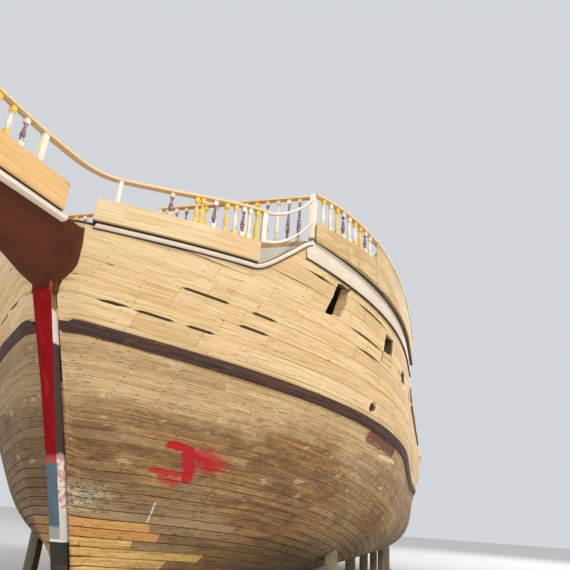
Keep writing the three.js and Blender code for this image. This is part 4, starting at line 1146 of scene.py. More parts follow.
def ply_top(x):
    """Top of the forecastle's ply: a shoulder at the corner post, low under the balusters, then high."""
    if x < 7.93:
        return fore_rail_z(x) - 0.012
    return PANEL_TOP + 0.05 * smooth((x - 9.16) / 0.18)


sheets = []
for xs in (spread(9.46, 8.79, 8), spread(8.785, 7.935, 8), spread(7.925, 7.0, 8), spread(6.995, 5.8, 9),
           spread(5.795, 4.5, 9), spread(4.495, 3.21, 9)):
    low, high = upright(xs, FORE_PLAN_Z, 0.117, lambda x: top_line(x) + 0.06, ply_top)
    sheets += strake(low, high, 0.002, [], sawn())
fore_ply = panel("forecastle_ply_port", sheets)
wear([fore_ply], ply)
both_sides(fore_ply)
# Painted shade: the downward faces of the bulwarks are darkened.
bulwark_inside = boards("bulwark_inside", "X", "Z", 0.15, (228, 196, 146), (202, 162, 112),
                        painted_shade=lambda f: f.ramp(f.facing("Z"), -0.5, -0.8))
wear_nodes(bulwark_inside, "bow_bulwark_port", "bow_bulwark_starboard", "beak_bulwark",
           "forecastle_bulwark_port", "forecastle_bulwark_starboard")

# Rails: turned balusters between a panel and a flat handrail, with flat posts at the ends.
# Most are primed white; old ones from a store are still yellow or purple, with raw blocks.


def path_length(path):
    return sum((b - a).length for a, b in zip(path, path[1:]))


def along(path, distance):
    left = distance
    for a, b in zip(path, path[1:]):
        long = (b - a).length
        if left <= long + 1e-6:
            return a.lerp(b, left / long)
        left -= long
    return path[-1]


def heading(path, distance):
    """Direction of a path at a distance, level."""
    a = along(path, max(distance - 0.04, 0))
    b = along(path, min(distance + 0.04, path_length(path)))
    return Vector((b.x - a.x, b.y - a.y, 0)).normalized()


def evenly(start, end, pitch):
    return spread(start, end, max(round((end - start) / pitch), 1))[1:-1]


def lathe(profile, sides=16, square=()):
    """Turned piece on the Z axis: radius and height of each ring; the rings in square are four-cornered."""
    rows = []
    for k, (radius, z) in enumerate(profile):
        ring = []
        for s in range(sides):
            c, d = math.cos(2 * math.pi * s / sides), math.sin(2 * math.pi * s / sides)
            r = radius / max(abs(c), abs(d)) if k in square else radius
            ring.append(Vector((r * c, r * d, z)))
        rows.append(ring)
    return tube(rows)


def baluster(height):
    """Turned baluster with square blocks, its profile in shares of its height."""
    block, w = min(0.17, 0.08 / height), 0.034
    top = 1 - block * 1.25
    profile = [(w - 0.004, 0), (w, 0.006), (w, block - 0.005), (w - 0.006, block), (0.02, block + 0.012),
               (0.03, block + 0.03), (0.03, block + 0.045), (0.019, block + 0.065), (0.026, block + 0.12),
               (0.037, block + 0.21), (0.036, block + 0.27), (0.025, 0.56), (0.017, top - 0.1),
               (0.016, top - 0.06), (0.027, top - 0.045), (0.027, top - 0.028), (0.018, top - 0.015),
               (w - 0.006, top), (w, top + 0.006), (w, 0.995), (w - 0.004, 1.0)]
    return lathe([(r, z * height) for r, z in profile], 16, (0, 1, 2, 3, 17, 18, 19, 20))


def coat(piece, height, scheme):
    """Marks a baluster's blocks and shaft as white, yellow or purple; what is unmarked stays raw."""
    blocks, shaft = scheme
    edge = min(0.17, 0.08 / height)
    for name in ("white", "yellow", "purple"):
        attribute = piece.data.attributes.new(name, "FLOAT", "POINT")
        values = []
        for v in piece.data.vertices:
            share = v.co.z / height
            values.append(1.0 * (name == (blocks if share < edge or share > 1 - edge * 1.25 else shaft)))
        attribute.data.foreach_set("value", values)


# letters of a rail's pattern: the coats of a baluster's blocks and of its shaft
SCHEMES = {"w": ("white", "white"), "y": ("yellow", "yellow"), "p": ("raw", "purple"),
           "c": ("yellow", "white"), "m": ("white", "purple"), "r": ("raw", "white")}
HANDRAIL = [(-0.055, -0.05), (0.055, -0.05), (0.055, -0.014), (0.047, -0.003), (0.036, 0.0), (-0.036, 0.0),
            (-0.047, -0.003), (-0.055, -0.014)]
# how far posts and balusters end below the handrail's top, and how far rails stand out from the side
UNDER_RAIL, RAIL_OUT = 0.045, 0.09


def four_sided(a, b):
    """Corners of a rectangle about its middle."""
    return (-a, -b), (a, -b), (a, b), (-a, b)


def stand(path, foot, distance, half=0.045, thin=0.045):
    """White post on a path, up into its handrail."""
    p, t = along(path, distance), heading(path, distance)
    n = Vector((-t.y, t.x, 0))
    rows = [[Vector((p.x, p.y, z)) + t * a + n * b for a, b in four_sided(half, thin)]
            for z in (foot(p.x), p.z - UNDER_RAIL)]
    return ease(tube(rows, white=1.0, tint=rng.random()), 0.005, 1, 50)


def balustrade(path, foot, posts, turned, pattern):
    """Handrail on a path, with posts and turned balusters at distances along it."""
    made = [sweep(path, HANDRAIL, rng.random() * 30, tint=rng.random())]
    made += [stand(path, foot, d) for d in posts]
    models = {}
    for number, d in enumerate(turned):
        p, t = along(path, d), heading(path, d)
        height = round(p.z - UNDER_RAIL - foot(p.x), 2)
        if height not in models:
            models[height] = baluster(height)
        select_only(models[height])
        bpy.ops.object.duplicate()
        piece = bpy.context.active_object
        coat(piece, height, SCHEMES[pattern[number % len(pattern)]])
        turn = Matrix.Rotation(math.atan2(t.y, t.x), 4, "Z")
        piece.data.transform(Matrix.Translation((p.x, p.y, foot(p.x))) @ turn)
        mark(piece.data, tint=rng.random())
        made.append(piece)
    for model in models.values():
        bpy.data.objects.remove(model)
    return made


f = Finish("rail_paints", 0.6)
tint, board, place = f.number("tint"), f.board(), f.place()
streak, band = grain(f, board, tint)
raw = f.blend(streak, paint(236, 212, 172), paint(208, 176, 132))
raw = f.blend(f.ramp(band, 0.5, 0.75) * 0.5, raw, paint(214, 172, 130))
chips = f.noise(place, (30, 30, 22), 4.0, 0.7)
soft = f.noise(place, (5, 5, 5), 4.0, 0.6)
whiting = f.blend(soft, paint(244, 236, 220), paint(226, 208, 186))
yellow = f.blend(soft, paint(244, 208, 84), paint(230, 176, 58))
purple = f.blend(soft, paint(128, 96, 116), paint(92, 62, 84))
colour = f.blend(f.number("white") * f.ramp(chips, 0.68, 0.64), raw, whiting)
colour = f.blend(f.number("yellow") * f.ramp(chips, 0.66, 0.62), colour, yellow)
colour = f.blend(f.number("purple") * f.ramp(chips, 0.6, 0.55), colour, purple)
colour = f.blend(f.number("purple") * f.ramp(chips, 0.6, 0.64) * 0.7, colour, whiting)
rail_paints = f.finish(colour, 0.5 + streak * 0.25, streak * 0.35 + chips * -0.2, 0.004, 0.4)


def plan(xs, plan_z, z):
    """Path of a rail on the plan line of the side at one height; z gives its own height at x."""
    points = [side(x, plan_z, RAIL_OUT) for x in xs]
    return [Vector((p.x, p.y, z(x))) for p, x in zip(points, xs)]


def bow_rail_z(x):
    return 6.39 + 0.2 * smooth((11.6 - x) / 1.7)


CORNER_Y = side(9.53, FORE_PLAN_Z, RAIL_OUT).y
BOW_PANEL_TOP = 5.962
BOW_TURNED = (0.337, 0.5, 0.537, 0.622, 0.702, 0.767, 0.823, 0.87, 0.925)
bow_rail_path = plan(spread(11.54, 9.975, 16), BOW_TOP, bow_rail_z)
bow_long = path_length(bow_rail_path)
bow_parts = balustrade(bow_rail_path, lambda x: BOW_PANEL_TOP, [bow_long - 0.05],
                       [share * bow_long for share in BOW_TURNED], "pyymycmwy")
bow_parts.append(stand(bow_rail_path, lambda x: BOW_PANEL_TOP, 0.05, 0.03, 0.045))


def swoop_bar(z0, z1):
    """White bar that sweeps up from the bow rail's end to the forecastle's corner post."""
    a = bow_rail_path[-1]
    path = [Vector((mix(a.x, 9.535, t), mix(a.y, CORNER_Y, t), mix(z0, z1, t ** 2)))
            for t in spread(0, 1, 12)]
    ring = [(-0.03, -0.045), (0.03, -0.045), (0.03, -0.008), (0.022, 0.0), (-0.022, 0.0), (-0.03, -0.008)]
    return sweep(path, ring, white=1.0, tint=0.4)


bow_parts += [swoop_bar(bow_rail_z(9.975), 7.12), swoop_bar(6.03, 6.66)]
bow_rail = smoothed(merge("bow_balustrade_port", bow_parts), 40)
wear([bow_rail], rail_paints)
both_sides(bow_rail, "bow_rail_port")

side_path = plan(spread(7.96, 9.49, 12), FORE_PLAN_Z, fore_rail_z)
fore_parts = balustrade(side_path, lambda x: PANEL_TOP + 0.002, [],
                        evenly(0.03, path_length(side_path) - 0.02, 0.175), "wmycwmywcmw")
FRONT_X = 9.485
front_path = [Vector((FRONT_X, CORNER_Y - 0.06, RAIL_TOP)), Vector((FRONT_X, 0.4, RAIL_TOP))]
fore_parts += balustrade(front_path, lambda x: 6.258, [path_length(front_path) - 0.05],
                         evenly(0, path_length(front_path), 0.21), "pmrpyrpwrym")
corner_rows = [[Vector((FRONT_X + a, CORNER_Y - 0.015 + b, z)) for a, b in four_sided(0.06, 0.06)]
               for z in (6.31, 7.21)]
fore_parts.append(ease(tube(corner_rows, white=1.0, tint=0.2), 0.007, 2, 50))
fore_rail = smoothed(merge("forecastle_balustrade_port", fore_parts), 40)
wear([fore_rail], rail_paints)
both_sides(fore_rail, "forecastle_rail_port")

cap_path = plan(spread(7.97, FORE_END, 26), FORE_PLAN_Z, lambda x: fore_rail_z(x) + 0.02)
CAP = [(-0.06, -0.035), (0.06, -0.035), (0.06, -0.008), (0.052, 0.0), (-0.052, 0.0), (-0.06, -0.008)]
cap = named(smoothed(sweep(cap_path, CAP)), "forecastle_cap_port")
wear([cap], white)
both_sides(cap)


def beak_rail_z(x):
    return 6.395 - 0.025 * smooth((x - 11.5) / 0.9) + 0.09 * smooth((x - 12.7) / 1.8)


beak_rail_line = beak_line(BEAK_ROOT, 0.065, 0.0)
start = Vector((bow_rail_path[0].x + 0.004, bow_rail_path[0].y - 0.008, 0))
bend = Vector((11.80, 0.662, 0))
run_up = [start.lerp(bend, t).lerp(bend.lerp(beak_rail_line[0], t), t) for t in spread(0, 1, 8)[:-1]]
beak_path = run_up + beak_rail_line + [Vector((p.x, -p.y, 0)) for p in reversed(run_up)]
for p in beak_path:
    p.z = beak_rail_z(p.x)
beak_long = path_length(beak_path)
beak_first = path_length(beak_path[:len(run_up) + 1]) + 0.06
beak_parts = balustrade(beak_path, lambda x: 5.892, [beak_first + 0.52, beak_long - beak_first - 0.52],
                        evenly(beak_first + 0.61, beak_long - beak_first - 0.61, 0.23), "mccpyw")
beak_rail = smoothed(merge("beak_balustrade", beak_parts), 40)
wear([beak_rail], rail_paints)
settle([beak_rail], instead=["beak_rail"])

# Forecastle front: ply sheets primed grey-white, between the bow deck and the forecastle deck.
# They meet on studs, and their joints show as fine dark lines.

front = eased("forecastle_front", "forecastle_front_sheets", 0.004, 1)
f = Finish("grey_primer", 0.6)
place = f.place()
cloud = f.noise(place, (1.3, 1.3, 1.3), 5.0, 0.6)
line = f.ramp(abs((f.axis(place, "Y") / 1.22).fraction() - 0.5), 0.4965, 0.4985)
colour = f.blend(cloud, paint(226, 224, 216), paint(190, 188, 180))
colour = f.blend(f.ramp(f.noise(place, (9, 9, 9), 4.0, 0.7), 0.62, 0.68) * 0.4, colour, paint(170, 150, 122))
colour = f.blend(line * 0.8, colour, paint(90, 84, 76))
wear([front], f.finish(colour, 0.55 + cloud * 0.2, cloud * 0.4 + line * -1.0, 0.005, 0.5))
settle([front], instead=["forecastle_front"])

# Decks: narrow softwood boards laid fore and aft on the beams and payed in the seams.
# Their butts are spread over the deck, and on the main deck they end against the hatch's coaming.


def deck(name, xs, z, half, keep=lambda x, y: True, width=0.142):
    """Boards fore and aft over a deck, from bow to stern; half gives the deck's half width at x."""
    made = []
    rows = int(max(half(x) for x in xs) / width) + 1
    for row in range(-rows, rows):
        y0, y1 = row * width, (row + 1) * width
        edge = max(abs(y0), abs(y1)) - 0.02
        for run in runs_of(xs, lambda x: half(x) > edge and keep(x, (y0 + y1) / 2)):
            made += strake([Vector((x, y1, z(x))) for x in run], [Vector((x, y0, z(x))) for x in run], 0.005,
                           butt_places(len(run), rng.randint(3, 12), 7, 12), sawn())
    piece = apply(merge(name, made), "SOLIDIFY", thickness=0.014, offset=0.3)
    return smoothed(ease(piece, 0.002, 1, 50))


f = Finish("deck_boards", 0.75)
tint, board, place = f.number("tint"), f.board(), f.place()
streak, band = grain(f, board, tint)
colour = f.blend(streak, paint(206, 172, 124), paint(166, 128, 84))
colour = f.blend(f.ramp(band, 0.5, 0.8) * 0.5, colour, paint(150, 112, 72))
colour = f.blend(tint * 0.35, colour, paint(140, 108, 74))
worn = f.noise(place, (1.1, 1.1, 1.1), 5.0, 0.6)
colour = f.blend(f.ramp(worn, 0.5, 0.7) * 0.35, colour, paint(190, 172, 140))
deck_finish = f.finish(colour, 0.68 + streak * 0.2, streak * 0.5 + band * 0.3, 0.006, 0.4)


def inner_half(x, z):
    return side(x, z, -0.16).y - 0.01


def poop_side(x, out):
    """Half width of the poop at x, which ends at the transom."""
    return side(max(x, -13.4), wale_z(x) + POOP_UP, out).y


hatch_low, hatch_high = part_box("hatch_coaming")
main_xs = sorted([*spread(9.6, -13.0, 66), hatch_high[0] + 0.002, hatch_low[0] - 0.002], reverse=True)
# tops of the boards of main deck and poop above the wale
MAIN_UP, POOP_BOARDS_UP = 0.464, 4.85
decks = [deck("main_deck_boards", main_xs, lambda x: wale_z(x) + MAIN_UP,
              lambda x: inner_half(x, wale_z(x) + 0.45),
              lambda x, y: not (hatch_low[0] < x < hatch_high[0] and abs(y) < hatch_high[1] + 0.02)),
         deck("forecastle_deck_boards", spread(9.48, FORE_END, 22), lambda x: top_line(x) + 0.045,
              lambda x: inner_half(x, 6.2)),
         deck("quarter_deck_boards", spread(CASTLE_FRONT, -13.5, 32), lambda x: wale_z(x) + QUARTER_UP,
              lambda x: inner_half(x, wale_z(x) + QUARTER_UP)),
         deck("poop_deck_boards", spread(-7.3, -13.88, 20), lambda x: wale_z(x) + POOP_BOARDS_UP,
              lambda x: poop_side(x, 0.06)),
         deck("bow_deck_boards", spread(11.5, 9.55, 20), lambda x: 5.588, lambda x: inner_half(x, 5.58)),
         deck("beak_deck_boards", spread(14.46, 11.56, 24), lambda x: 5.458,
              lambda x: (beak_half(x) if x > 12 else 0.56) - 0.02)]
wear(decks, deck_finish)
settle(decks)
under_boards = boards("deck_undersides", "X", "Y", 0.142, (206, 172, 124), (166, 128, 84))
wear_nodes(under_boards, "forecastle_deck", "quarter_deck", "poop_deck")

# Waist bulwarks: a heavy cap of softwood, with level boards on its inner side.
# The cap lies on the topside planking and is bolted to the frames' heads.

for part in ("port", "starboard"):
    bulwark = eased("waist_bulwark_" + part, "waist_cap_" + part, 0.01, 1, 30, False)
    wear([bulwark], bulwark_inside)
    settle([bulwark], instead=["waist_bulwark_" + part])

# Castle caps and mouldings: white battens nailed along the castle at the quarterdeck's height.
# Sawn softwood caps cover the tops of its sides.

batten_path = [(x, wale_z(x) + QUARTER_UP) for x in spread(-2.66, -13.3, 40)]
castle_batten = named(smoothed(moulding(batten_path, BATTEN), 45), "castle_batten_port")
wear([castle_batten], white)
both_sides(castle_batten)
CASTLE_CAP = [(-0.12, -0.012), (0.12, -0.012), (0.12, 0.035), (0.11, 0.045), (-0.11, 0.045), (-0.12, 0.035)]
cap_line = [side(x, wale_z(x) + CASTLE_UP, -0.08) for x in spread(-2.56, -7.58, 20)]
castle_cap = named(smoothed(sweep(cap_line, CASTLE_CAP, tint=0.5), 45), "castle_cap_port")
wear([castle_cap], rail_paints)
both_sides(castle_cap)

# Transom: level planks across the stern, from the counter up, nailed to its frames.
# A cover timber of dark hardwood runs down each corner, over the planks' ends.


def stern_half(z):
    return half_breadth(stern_x(z), z)


STERN_TOP = wale_z(-13.35) + 4.73
stern_rows = spread(1.9, STERN_TOP, 28)
stern_planks = []
for low_z, high_z in zip(stern_rows, stern_rows[1:]):
    edges = []
    for z in (low_z, high_z):
        half = stern_half(z) + 0.01
        edges.append([Vector((stern_x(z) + 0.004, mix(half, -half, t), z)) for t in spread(0, 1, 14)])
    stern_planks += strake(edges[0], edges[1], 0.005, butt_places(15, rng.randint(4, 11), 5, 8), sawn())
transom = merge("transom_planking", stern_planks)
apply(transom, "SOLIDIFY", thickness=0.03, offset=0.1)
ease(transom, 0.0022, 1, 50)
# windows of the stern: y and z of the middle, width, height
STERN_WINDOWS = [(y, 5.6, 0.76, 0.76) for y in (-2.55, -0.87, 0.87, 2.55)]
STERN_WINDOWS += [(y, 7.75, 0.64, 0.66) for y in (-1.7, 0, 1.7)]
cutters = []
for y, z, width, height in STERN_WINDOWS:
    bpy.ops.mesh.primitive_cube_add(size=1)
    cutter = bpy.context.active_object
    set_points(cutter.data, [(-13.7 + v.co.x * 0.8, y + v.co.y * width, z + v.co.z * height)
                             for v in cutter.data.vertices])
    cutters.append(cutter)
cut_with(transom, cutters)
smoothed(transom, 30)
wear([transom], above_wale)
corner_bars = []
for sign in (1, -1):
    rows = []
    for z in spread(2.1, STERN_TOP, 30):
        y = sign * stern_half(z)
        rows.append([Vector((stern_x(z) + a, y + sign * b, z)) for a, b in
                     ((0.1, 0.0), (0.1, 0.045), (-0.03, 0.045), (-0.045, 0.03), (-0.045, -0.1), (0.0, -0.1))])
    corner_bars.append(tube(rows, tint=0.5))
corner_timbers = smoothed(merge("transom_corner_timbers", corner_bars), 45)
wear([corner_timbers], hardwood)
settle([transom])
settle([corner_timbers])
wear([nodes["transom"]], boards("transom_inside", "Y", "Z", 0.2, (224, 192, 142), (190, 150, 100)))

# Window frames: casings of primed softwood, nailed over the sawn edges of the planks.
# Each has a mullion and two bars and is not yet glazed.


def timber(low, high, edge=0.004, **marks):
    """Sawn timber between two corners, with eased edges."""
    bpy.ops.mesh.primitive_cube_add(size=1)
    piece = bpy.context.active_object
    set_points(piece.data, [[mix(a, b, c + 0.5) for a, b, c in zip(low, high, v.co)]
                            for v in piece.data.vertices])
    mark(piece.data, **marks)
    return ease(piece, edge, 1, 50)


def casing(width, height):
    """Window casing flat on the XZ plane about its middle, standing out along +Y."""
    w, h, b = width / 2, height / 2, 0.085
    bar = h * 0.36
    return merge("casing", [
        timber((-w - b, 0, h), (w + b, 0.045, h + b)),
        timber((-w - b - 0.03, 0, -h - 0.06), (w + b + 0.03, 0.08, -h)),
        timber((-w - b, 0, -h), (-w, 0.04, h)),
        timber((w, 0, -h), (w + b, 0.04, h)),
        timber((-0.02, -0.02, -h), (0.02, 0.02, h)),
        timber((-w, -0.016, -bar), (w, 0.016, -bar + 0.03)),
        timber((-w, -0.016, bar - 0.03), (w, 0.016, bar)),
        timber((-w - b - 0.02, 0, h + b), (w + b + 0.02, 0.075, h + b + 0.03))])


frames = []
for x, z, width, height in window_places:
    piece = casing(width, height)
    set_points(piece.data, [side(x - v.co.x, z + v.co.z, 0.010 + v.co.y) for v in piece.data.vertices])
    frames.append(piece)
port_frames = smoothed(faced(merge("castle_window_casings_port", frames)), 40)
wear([port_frames], white)
both_sides(port_frames)
frames = []
for y, z, width, height in STERN_WINDOWS:
    piece = casing(width, height)
    set_points(piece.data, [(stern_x(z + v.co.z) - 0.008 - v.co.y, y + v.co.x, z + v.co.z)
                            for v in piece.data.vertices])
    frames.append(piece)
stern_frames = smoothed(faced(merge("stern_window_casings", frames)), 40)
wear([stern_frames], white)
settle([stern_frames])

# Port boards: two short boards of the same softwood under the second port of each side.
# They are nailed outside, a little proud of the planks.

linings = []
for low_z, high_z in ((4.79, 4.895), (4.9, 5.0)):
    low = [side(v, low_z, 0.02) for v in spread(7.04, 6.5, 5)]
    high = [side(v, high_z, 0.02) for v in spread(7.04, 6.5, 5)]
    linings += strake(low, high, 0.004, [], sawn())
lining = merge("port_lining_port", linings)
apply(lining, "SOLIDIFY", thickness=0.02, offset=0)
ease(lining, 0.002, 1, 50)
wear([lining], above_wale)
both_sides(lining)

# Rails across the forecastle's after edge, the quarterdeck and the poop, and round the poop.
# They are made like the bow's but taller, and stand straight on the decks.

DECK_RAIL = 0.93


def cross_rail(name, x, y0, y1, foot, node, pattern):
    path = [Vector((x, y, foot + DECK_RAIL)) for y in spread(y1, y0, 6)]
    long = y1 - y0
    piece = smoothed(merge(name, balustrade(path, lambda at: foot + 0.006, [0.05, long - 0.05],
                                            evenly(0, long, 0.36), pattern)), 40)
    wear([piece], rail_paints)
    settle([piece], instead=[node])


cross_rail("forecastle_edge_balustrade", 3.275, -2.2, 4.2, top_line(3.275) + 0.05, "forecastle_aft_rail",
           "wmwcwy")
cross_rail("quarter_balustrade", -2.675, -2.7, 2.7, wale_z(-2.675) + 2.605, "quarter_rail", "wywmwc")
cross_rail("poop_front_balustrade", -7.375, -3.3, 1.85, wale_z(-7.375) + 4.855, "poop_front_rail", "wmwyrc")

POOP_RAIL_UP, POOP_AFT = 5.78, -13.75
poop_path = [Vector((x, poop_side(x, -0.02), wale_z(x) + POOP_RAIL_UP)) for x in spread(-7.375, POOP_AFT, 16)]
poop_path += [Vector((POOP_AFT, y, wale_z(POOP_AFT) + POOP_RAIL_UP))
              for y in spread(poop_path[-1].y - 0.3, 0.06, 5)]
poop_long = path_length(poop_path)
poop_corner = path_length(poop_path[:17])
poop_turned = evenly(0.05, poop_corner, 0.44) + evenly(poop_corner, poop_long - 0.05, 0.44)
poop_parts = balustrade(poop_path, lambda x: wale_z(x) + 4.86, [0.05, poop_corner, poop_long - 0.05],
                        poop_turned, "wmwcwyr")
poop_rail = smoothed(merge("poop_balustrade_port", poop_parts), 40)
wear([poop_rail], rail_paints)
both_sides(poop_rail, "poop_rail_port")

# Stern gallery: a balcony of boards on three sawn brackets bolted to the transom.
# It has its own balustrade, and a white moulding covers the boards' ends.

GALLERY_Z, GALLERY_FRONT, GALLERY_AFT, GALLERY_Y = 6.33, -13.74, -14.566, 2.84
gallery_path = [Vector((x, y, GALLERY_Z + DECK_RAIL))
                for x, y in ((GALLERY_FRONT, GALLERY_Y), (GALLERY_AFT, GALLERY_Y),
                             (GALLERY_AFT, -GALLERY_Y), (GALLERY_FRONT, -GALLERY_Y))]
long = path_length(gallery_path)
turn = GALLERY_FRONT - GALLERY_AFT
gallery_parts = balustrade(gallery_path, lambda x: GALLERY_Z + 0.014, [0.06, turn, long - turn, long - 0.06],
                           evenly(0.06, turn, 0.36) + evenly(turn, long - turn, 0.4)
                           + evenly(long - turn, long - 0.06, 0.36), "wywmwc")
rim_path = [Vector((p.x + 0.02 * (p.x < -14), p.y, GALLERY_Z)) for p in gallery_path]
RIM = [(0.02, -0.11), (-0.05, -0.11), (-0.055, -0.05), (-0.065, -0.02), (-0.065, 0.0), (0.02, 0.0)]
gallery_parts.append(sweep(rim_path, RIM, white=1.0))
for k in range(6):
    x0 = -13.5 - 0.175 * k
    gallery_parts.append(timber((x0 - 0.172, -2.86, GALLERY_Z - 0.09), (x0, 2.86, GALLERY_Z + 0.004), 0.003,
                                tint=rng.random()))
# outline of a bracket: x, and drop from the gallery's floor
BRACKET = [(-13.42, -0.73), (-13.42, -0.09), (-14.42, -0.09), (-14.44, -0.16), (-14.36, -0.21), (-14.2, -0.2),
           (-14.05, -0.25), (-13.9, -0.36), (-13.78, -0.5), (-13.66, -0.53), (-13.57, -0.6), (-13.52, -0.7)]
for y in (-2.3, 0, 2.3):
    rows = [[Vector((x, y + s, GALLERY_Z + dz)) for x, dz in BRACKET] for s in (-0.06, 0.06)]
    gallery_parts.append(ease(tube(rows, white=1.0), 0.008, 1, 50))
gallery = smoothed(merge("gallery_balcony", gallery_parts), 40)
wear([gallery], rail_paints)
settle([gallery], instead=["stern_gallery"])

# Doors: leaves of upright boards on iron straps, each with a ring for a handle.
# They hang on pins at the edge of their doorways.

f = Finish("black_iron", 0.5, 0.7)
place = f.place()
rust = f.noise(place, (14, 14, 14), 5.0, 0.65)
colour = f.blend(f.ramp(rust, 0.5, 0.68), paint(64, 62, 62), paint(112, 66, 42))
iron = f.finish(colour, 0.45 + rust * 0.4, rust, 0.003, 0.5)
leaf_boards = boards("door_boards", "Z", "Y", 0.135, (178, 130, 82), (132, 90, 54), 4.0, 0.004)
# door: the way it faces along X, and the side of its hinge along Y
DOORS = {"forecastle_door": (-1, 1), "castle_door_port": (1, 1), "castle_door_starboard": (1, -1),
         "poop_door": (1, 1)}
for node, (direction, hinge) in DOORS.items():
    low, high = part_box(node)
    leaf = eased(node, node + "_leaf", 0.004, 1)
    wear([leaf], leaf_boards, iron)
    face_x = high[0] if direction > 0 else low[0]
    split_faces(leaf, lambda face: abs(face.center.x - face_x) < 0.0115, 1)
    settle([leaf], node, [node])
    x, y, z = face_x - direction * 0.012, (low[1] + high[1]) / 2 - hinge * 0.34, mix(low[2], high[2], 0.47)
    bpy.ops.mesh.primitive_torus_add(major_radius=0.055, minor_radius=0.008, major_segments=20,
                                     minor_segments=8)
    ring = bpy.context.active_object
    set_points(ring.data, [(x + direction * (0.016 + v.co.z), y + v.co.x, z - 0.05 + v.co.y)
                           for v in ring.data.vertices])
    plate = timber((x - 0.006, y - 0.03, z - 0.04), (x + 0.006, y + 0.03, z + 0.04), 0.001)
    handle = smoothed(faced(merge(node + "_ring", [ring, plate])))
    wear([handle], iron)
    settle([handle], node)

# Ladders: two sawn stringers of softwood with treads let into them.
# Each stands on one deck and leans on the edge of the next.

ladder_boards = boards("ladder_boards", "Y", "X", 0.24, (210, 176, 128), (176, 138, 92), 9.0)
for node in ("quarter_ladder_port", "quarter_ladder_starboard", "forecastle_ladder", "poop_ladder"):
    ladder = eased(node, node + "_timber", 0.005, 1, 30, False)
    wear([ladder], ladder_boards)
    settle([ladder], instead=[node])

# Hatch: a coaming of thick boards bolted round the opening in the main deck.
# Its lid of boards and battens is hinged at its after edge.

coaming = eased("hatch_coaming", "hatch_coaming_boards", 0.008)
wear([coaming], boards("coaming_boards", "X", "Z", 0.2, (214, 180, 130), (184, 144, 96)))
settle([coaming], instead=["hatch_coaming"])
lid = eased("hatch_lid", "hatch_lid_boards", 0.005, 1)
wear([lid], boards("lid_boards", "X", "Y", 0.13, (196, 158, 108), (160, 122, 78), 6.0))
settle([lid], "hatch_lid", ["hatch_lid"])

# Helm: a boxed stand of dark boards on the quarterdeck.
# Its wheel has eight turned spokes between a hub and a rim, of oiled hardwood, with a brass hub plate.

helm_box = eased("helm_stand", "helm_box", 0.01)
wear([helm_box], boards("helm_boards", "Z", "Y", 0.12, (150, 104, 62), (110, 72, 42), 3.0))
settle([helm_box], instead=["helm_stand"])
HELM = Vector((-5.69, 0, 6.60165))
RIM_RADIUS = 0.4425
to_x = Matrix.Rotation(math.pi / 2, 4, "Y")
bpy.ops.mesh.primitive_torus_add(major_radius=RIM_RADIUS, minor_radius=0.03, major_segments=48,
                                 minor_segments=10)
wheel_rim = bpy.context.active_object
points = []
for v in wheel_rim.data.vertices:
    a, r = math.atan2(v.co.y, v.co.x), RIM_RADIUS + (math.hypot(v.co.x, v.co.y) - RIM_RADIUS) * 0.92
    points.append((clamp(v.co.z / 0.052 + 0.5) * 0.06 - 0.03, r * math.cos(a), r * math.sin(a)))
set_points(wheel_rim.data, points)
wheel_parts = [wheel_rim]
SPOKE = [(0.016, 0.06), (0.018, 0.12), (0.026, 0.16), (0.016, 0.2), (0.02, 0.28), (0.023, 0.33),
         (0.015, 0.38), (0.02, 0.41), (0.02, 0.475), (0.014, 0.485), (0.018, 0.51), (0.024, 0.55),
         (0.022, 0.585), (0.012, 0.612), (0.004, 0.618)]
for k in range(8):
    spoke = lathe(SPOKE, 10)
    spoke.data.transform(Matrix.Rotation(k * math.pi / 4, 4, "X"))
    wheel_parts.append(spoke)
HUB = [(0.05, -0.06), (0.078, -0.055), (0.08, -0.03), (0.07, -0.02), (0.08, -0.01), (0.08, 0.02),
       (0.07, 0.035), (0.055, 0.05), (0.055, 0.126)]
hub = lathe(HUB, 24)
hub.data.transform(to_x)
wheel = merge("ships_wheel", [*wheel_parts, hub])
wheel.data.transform(Matrix.Translation(HELM))
smoothed(faced(wheel), 40)
f = Finish("oiled_wheel_wood", 0.4)
place = f.place()
streak = f.noise(place, (30, 6, 6), 6.0, 0.62, 0.4)
from_hub = f.add("VectorMath", {"operation": "DISTANCE"}, {0: place, 1: tuple(HELM)}, output="Value")
brass = f.ramp(from_hub, 0.066, 0.062)
colour = f.blend(streak, paint(146, 92, 50), paint(96, 56, 30))
colour = f.blend(brass, colour, paint(206, 164, 84))
wear([wheel], f.finish(colour, 0.35 + streak * 0.2, streak, 0.002, 0.4))
settle([wheel], "helm_wheel", ["helm_wheel"])

# Rudder: upright hardwood planks bolted to a stock, which goes up through the trunk in the hull.
# Its pintle stands in the keel's heel.

rudder = eased("rudder", "rudder_timber", 0.012)
wear([rudder], boards("rudder_planks", "Z", "X", 0.24, (108, 78, 54), (72, 50, 36), 9.0, 0.005, (24, 18, 14)))
settle([rudder], "rudder", ["rudder"])

# Propeller: three twisted blades and a boss of cast bronze.
# It is keyed on the shaft that comes out of the sternpost.

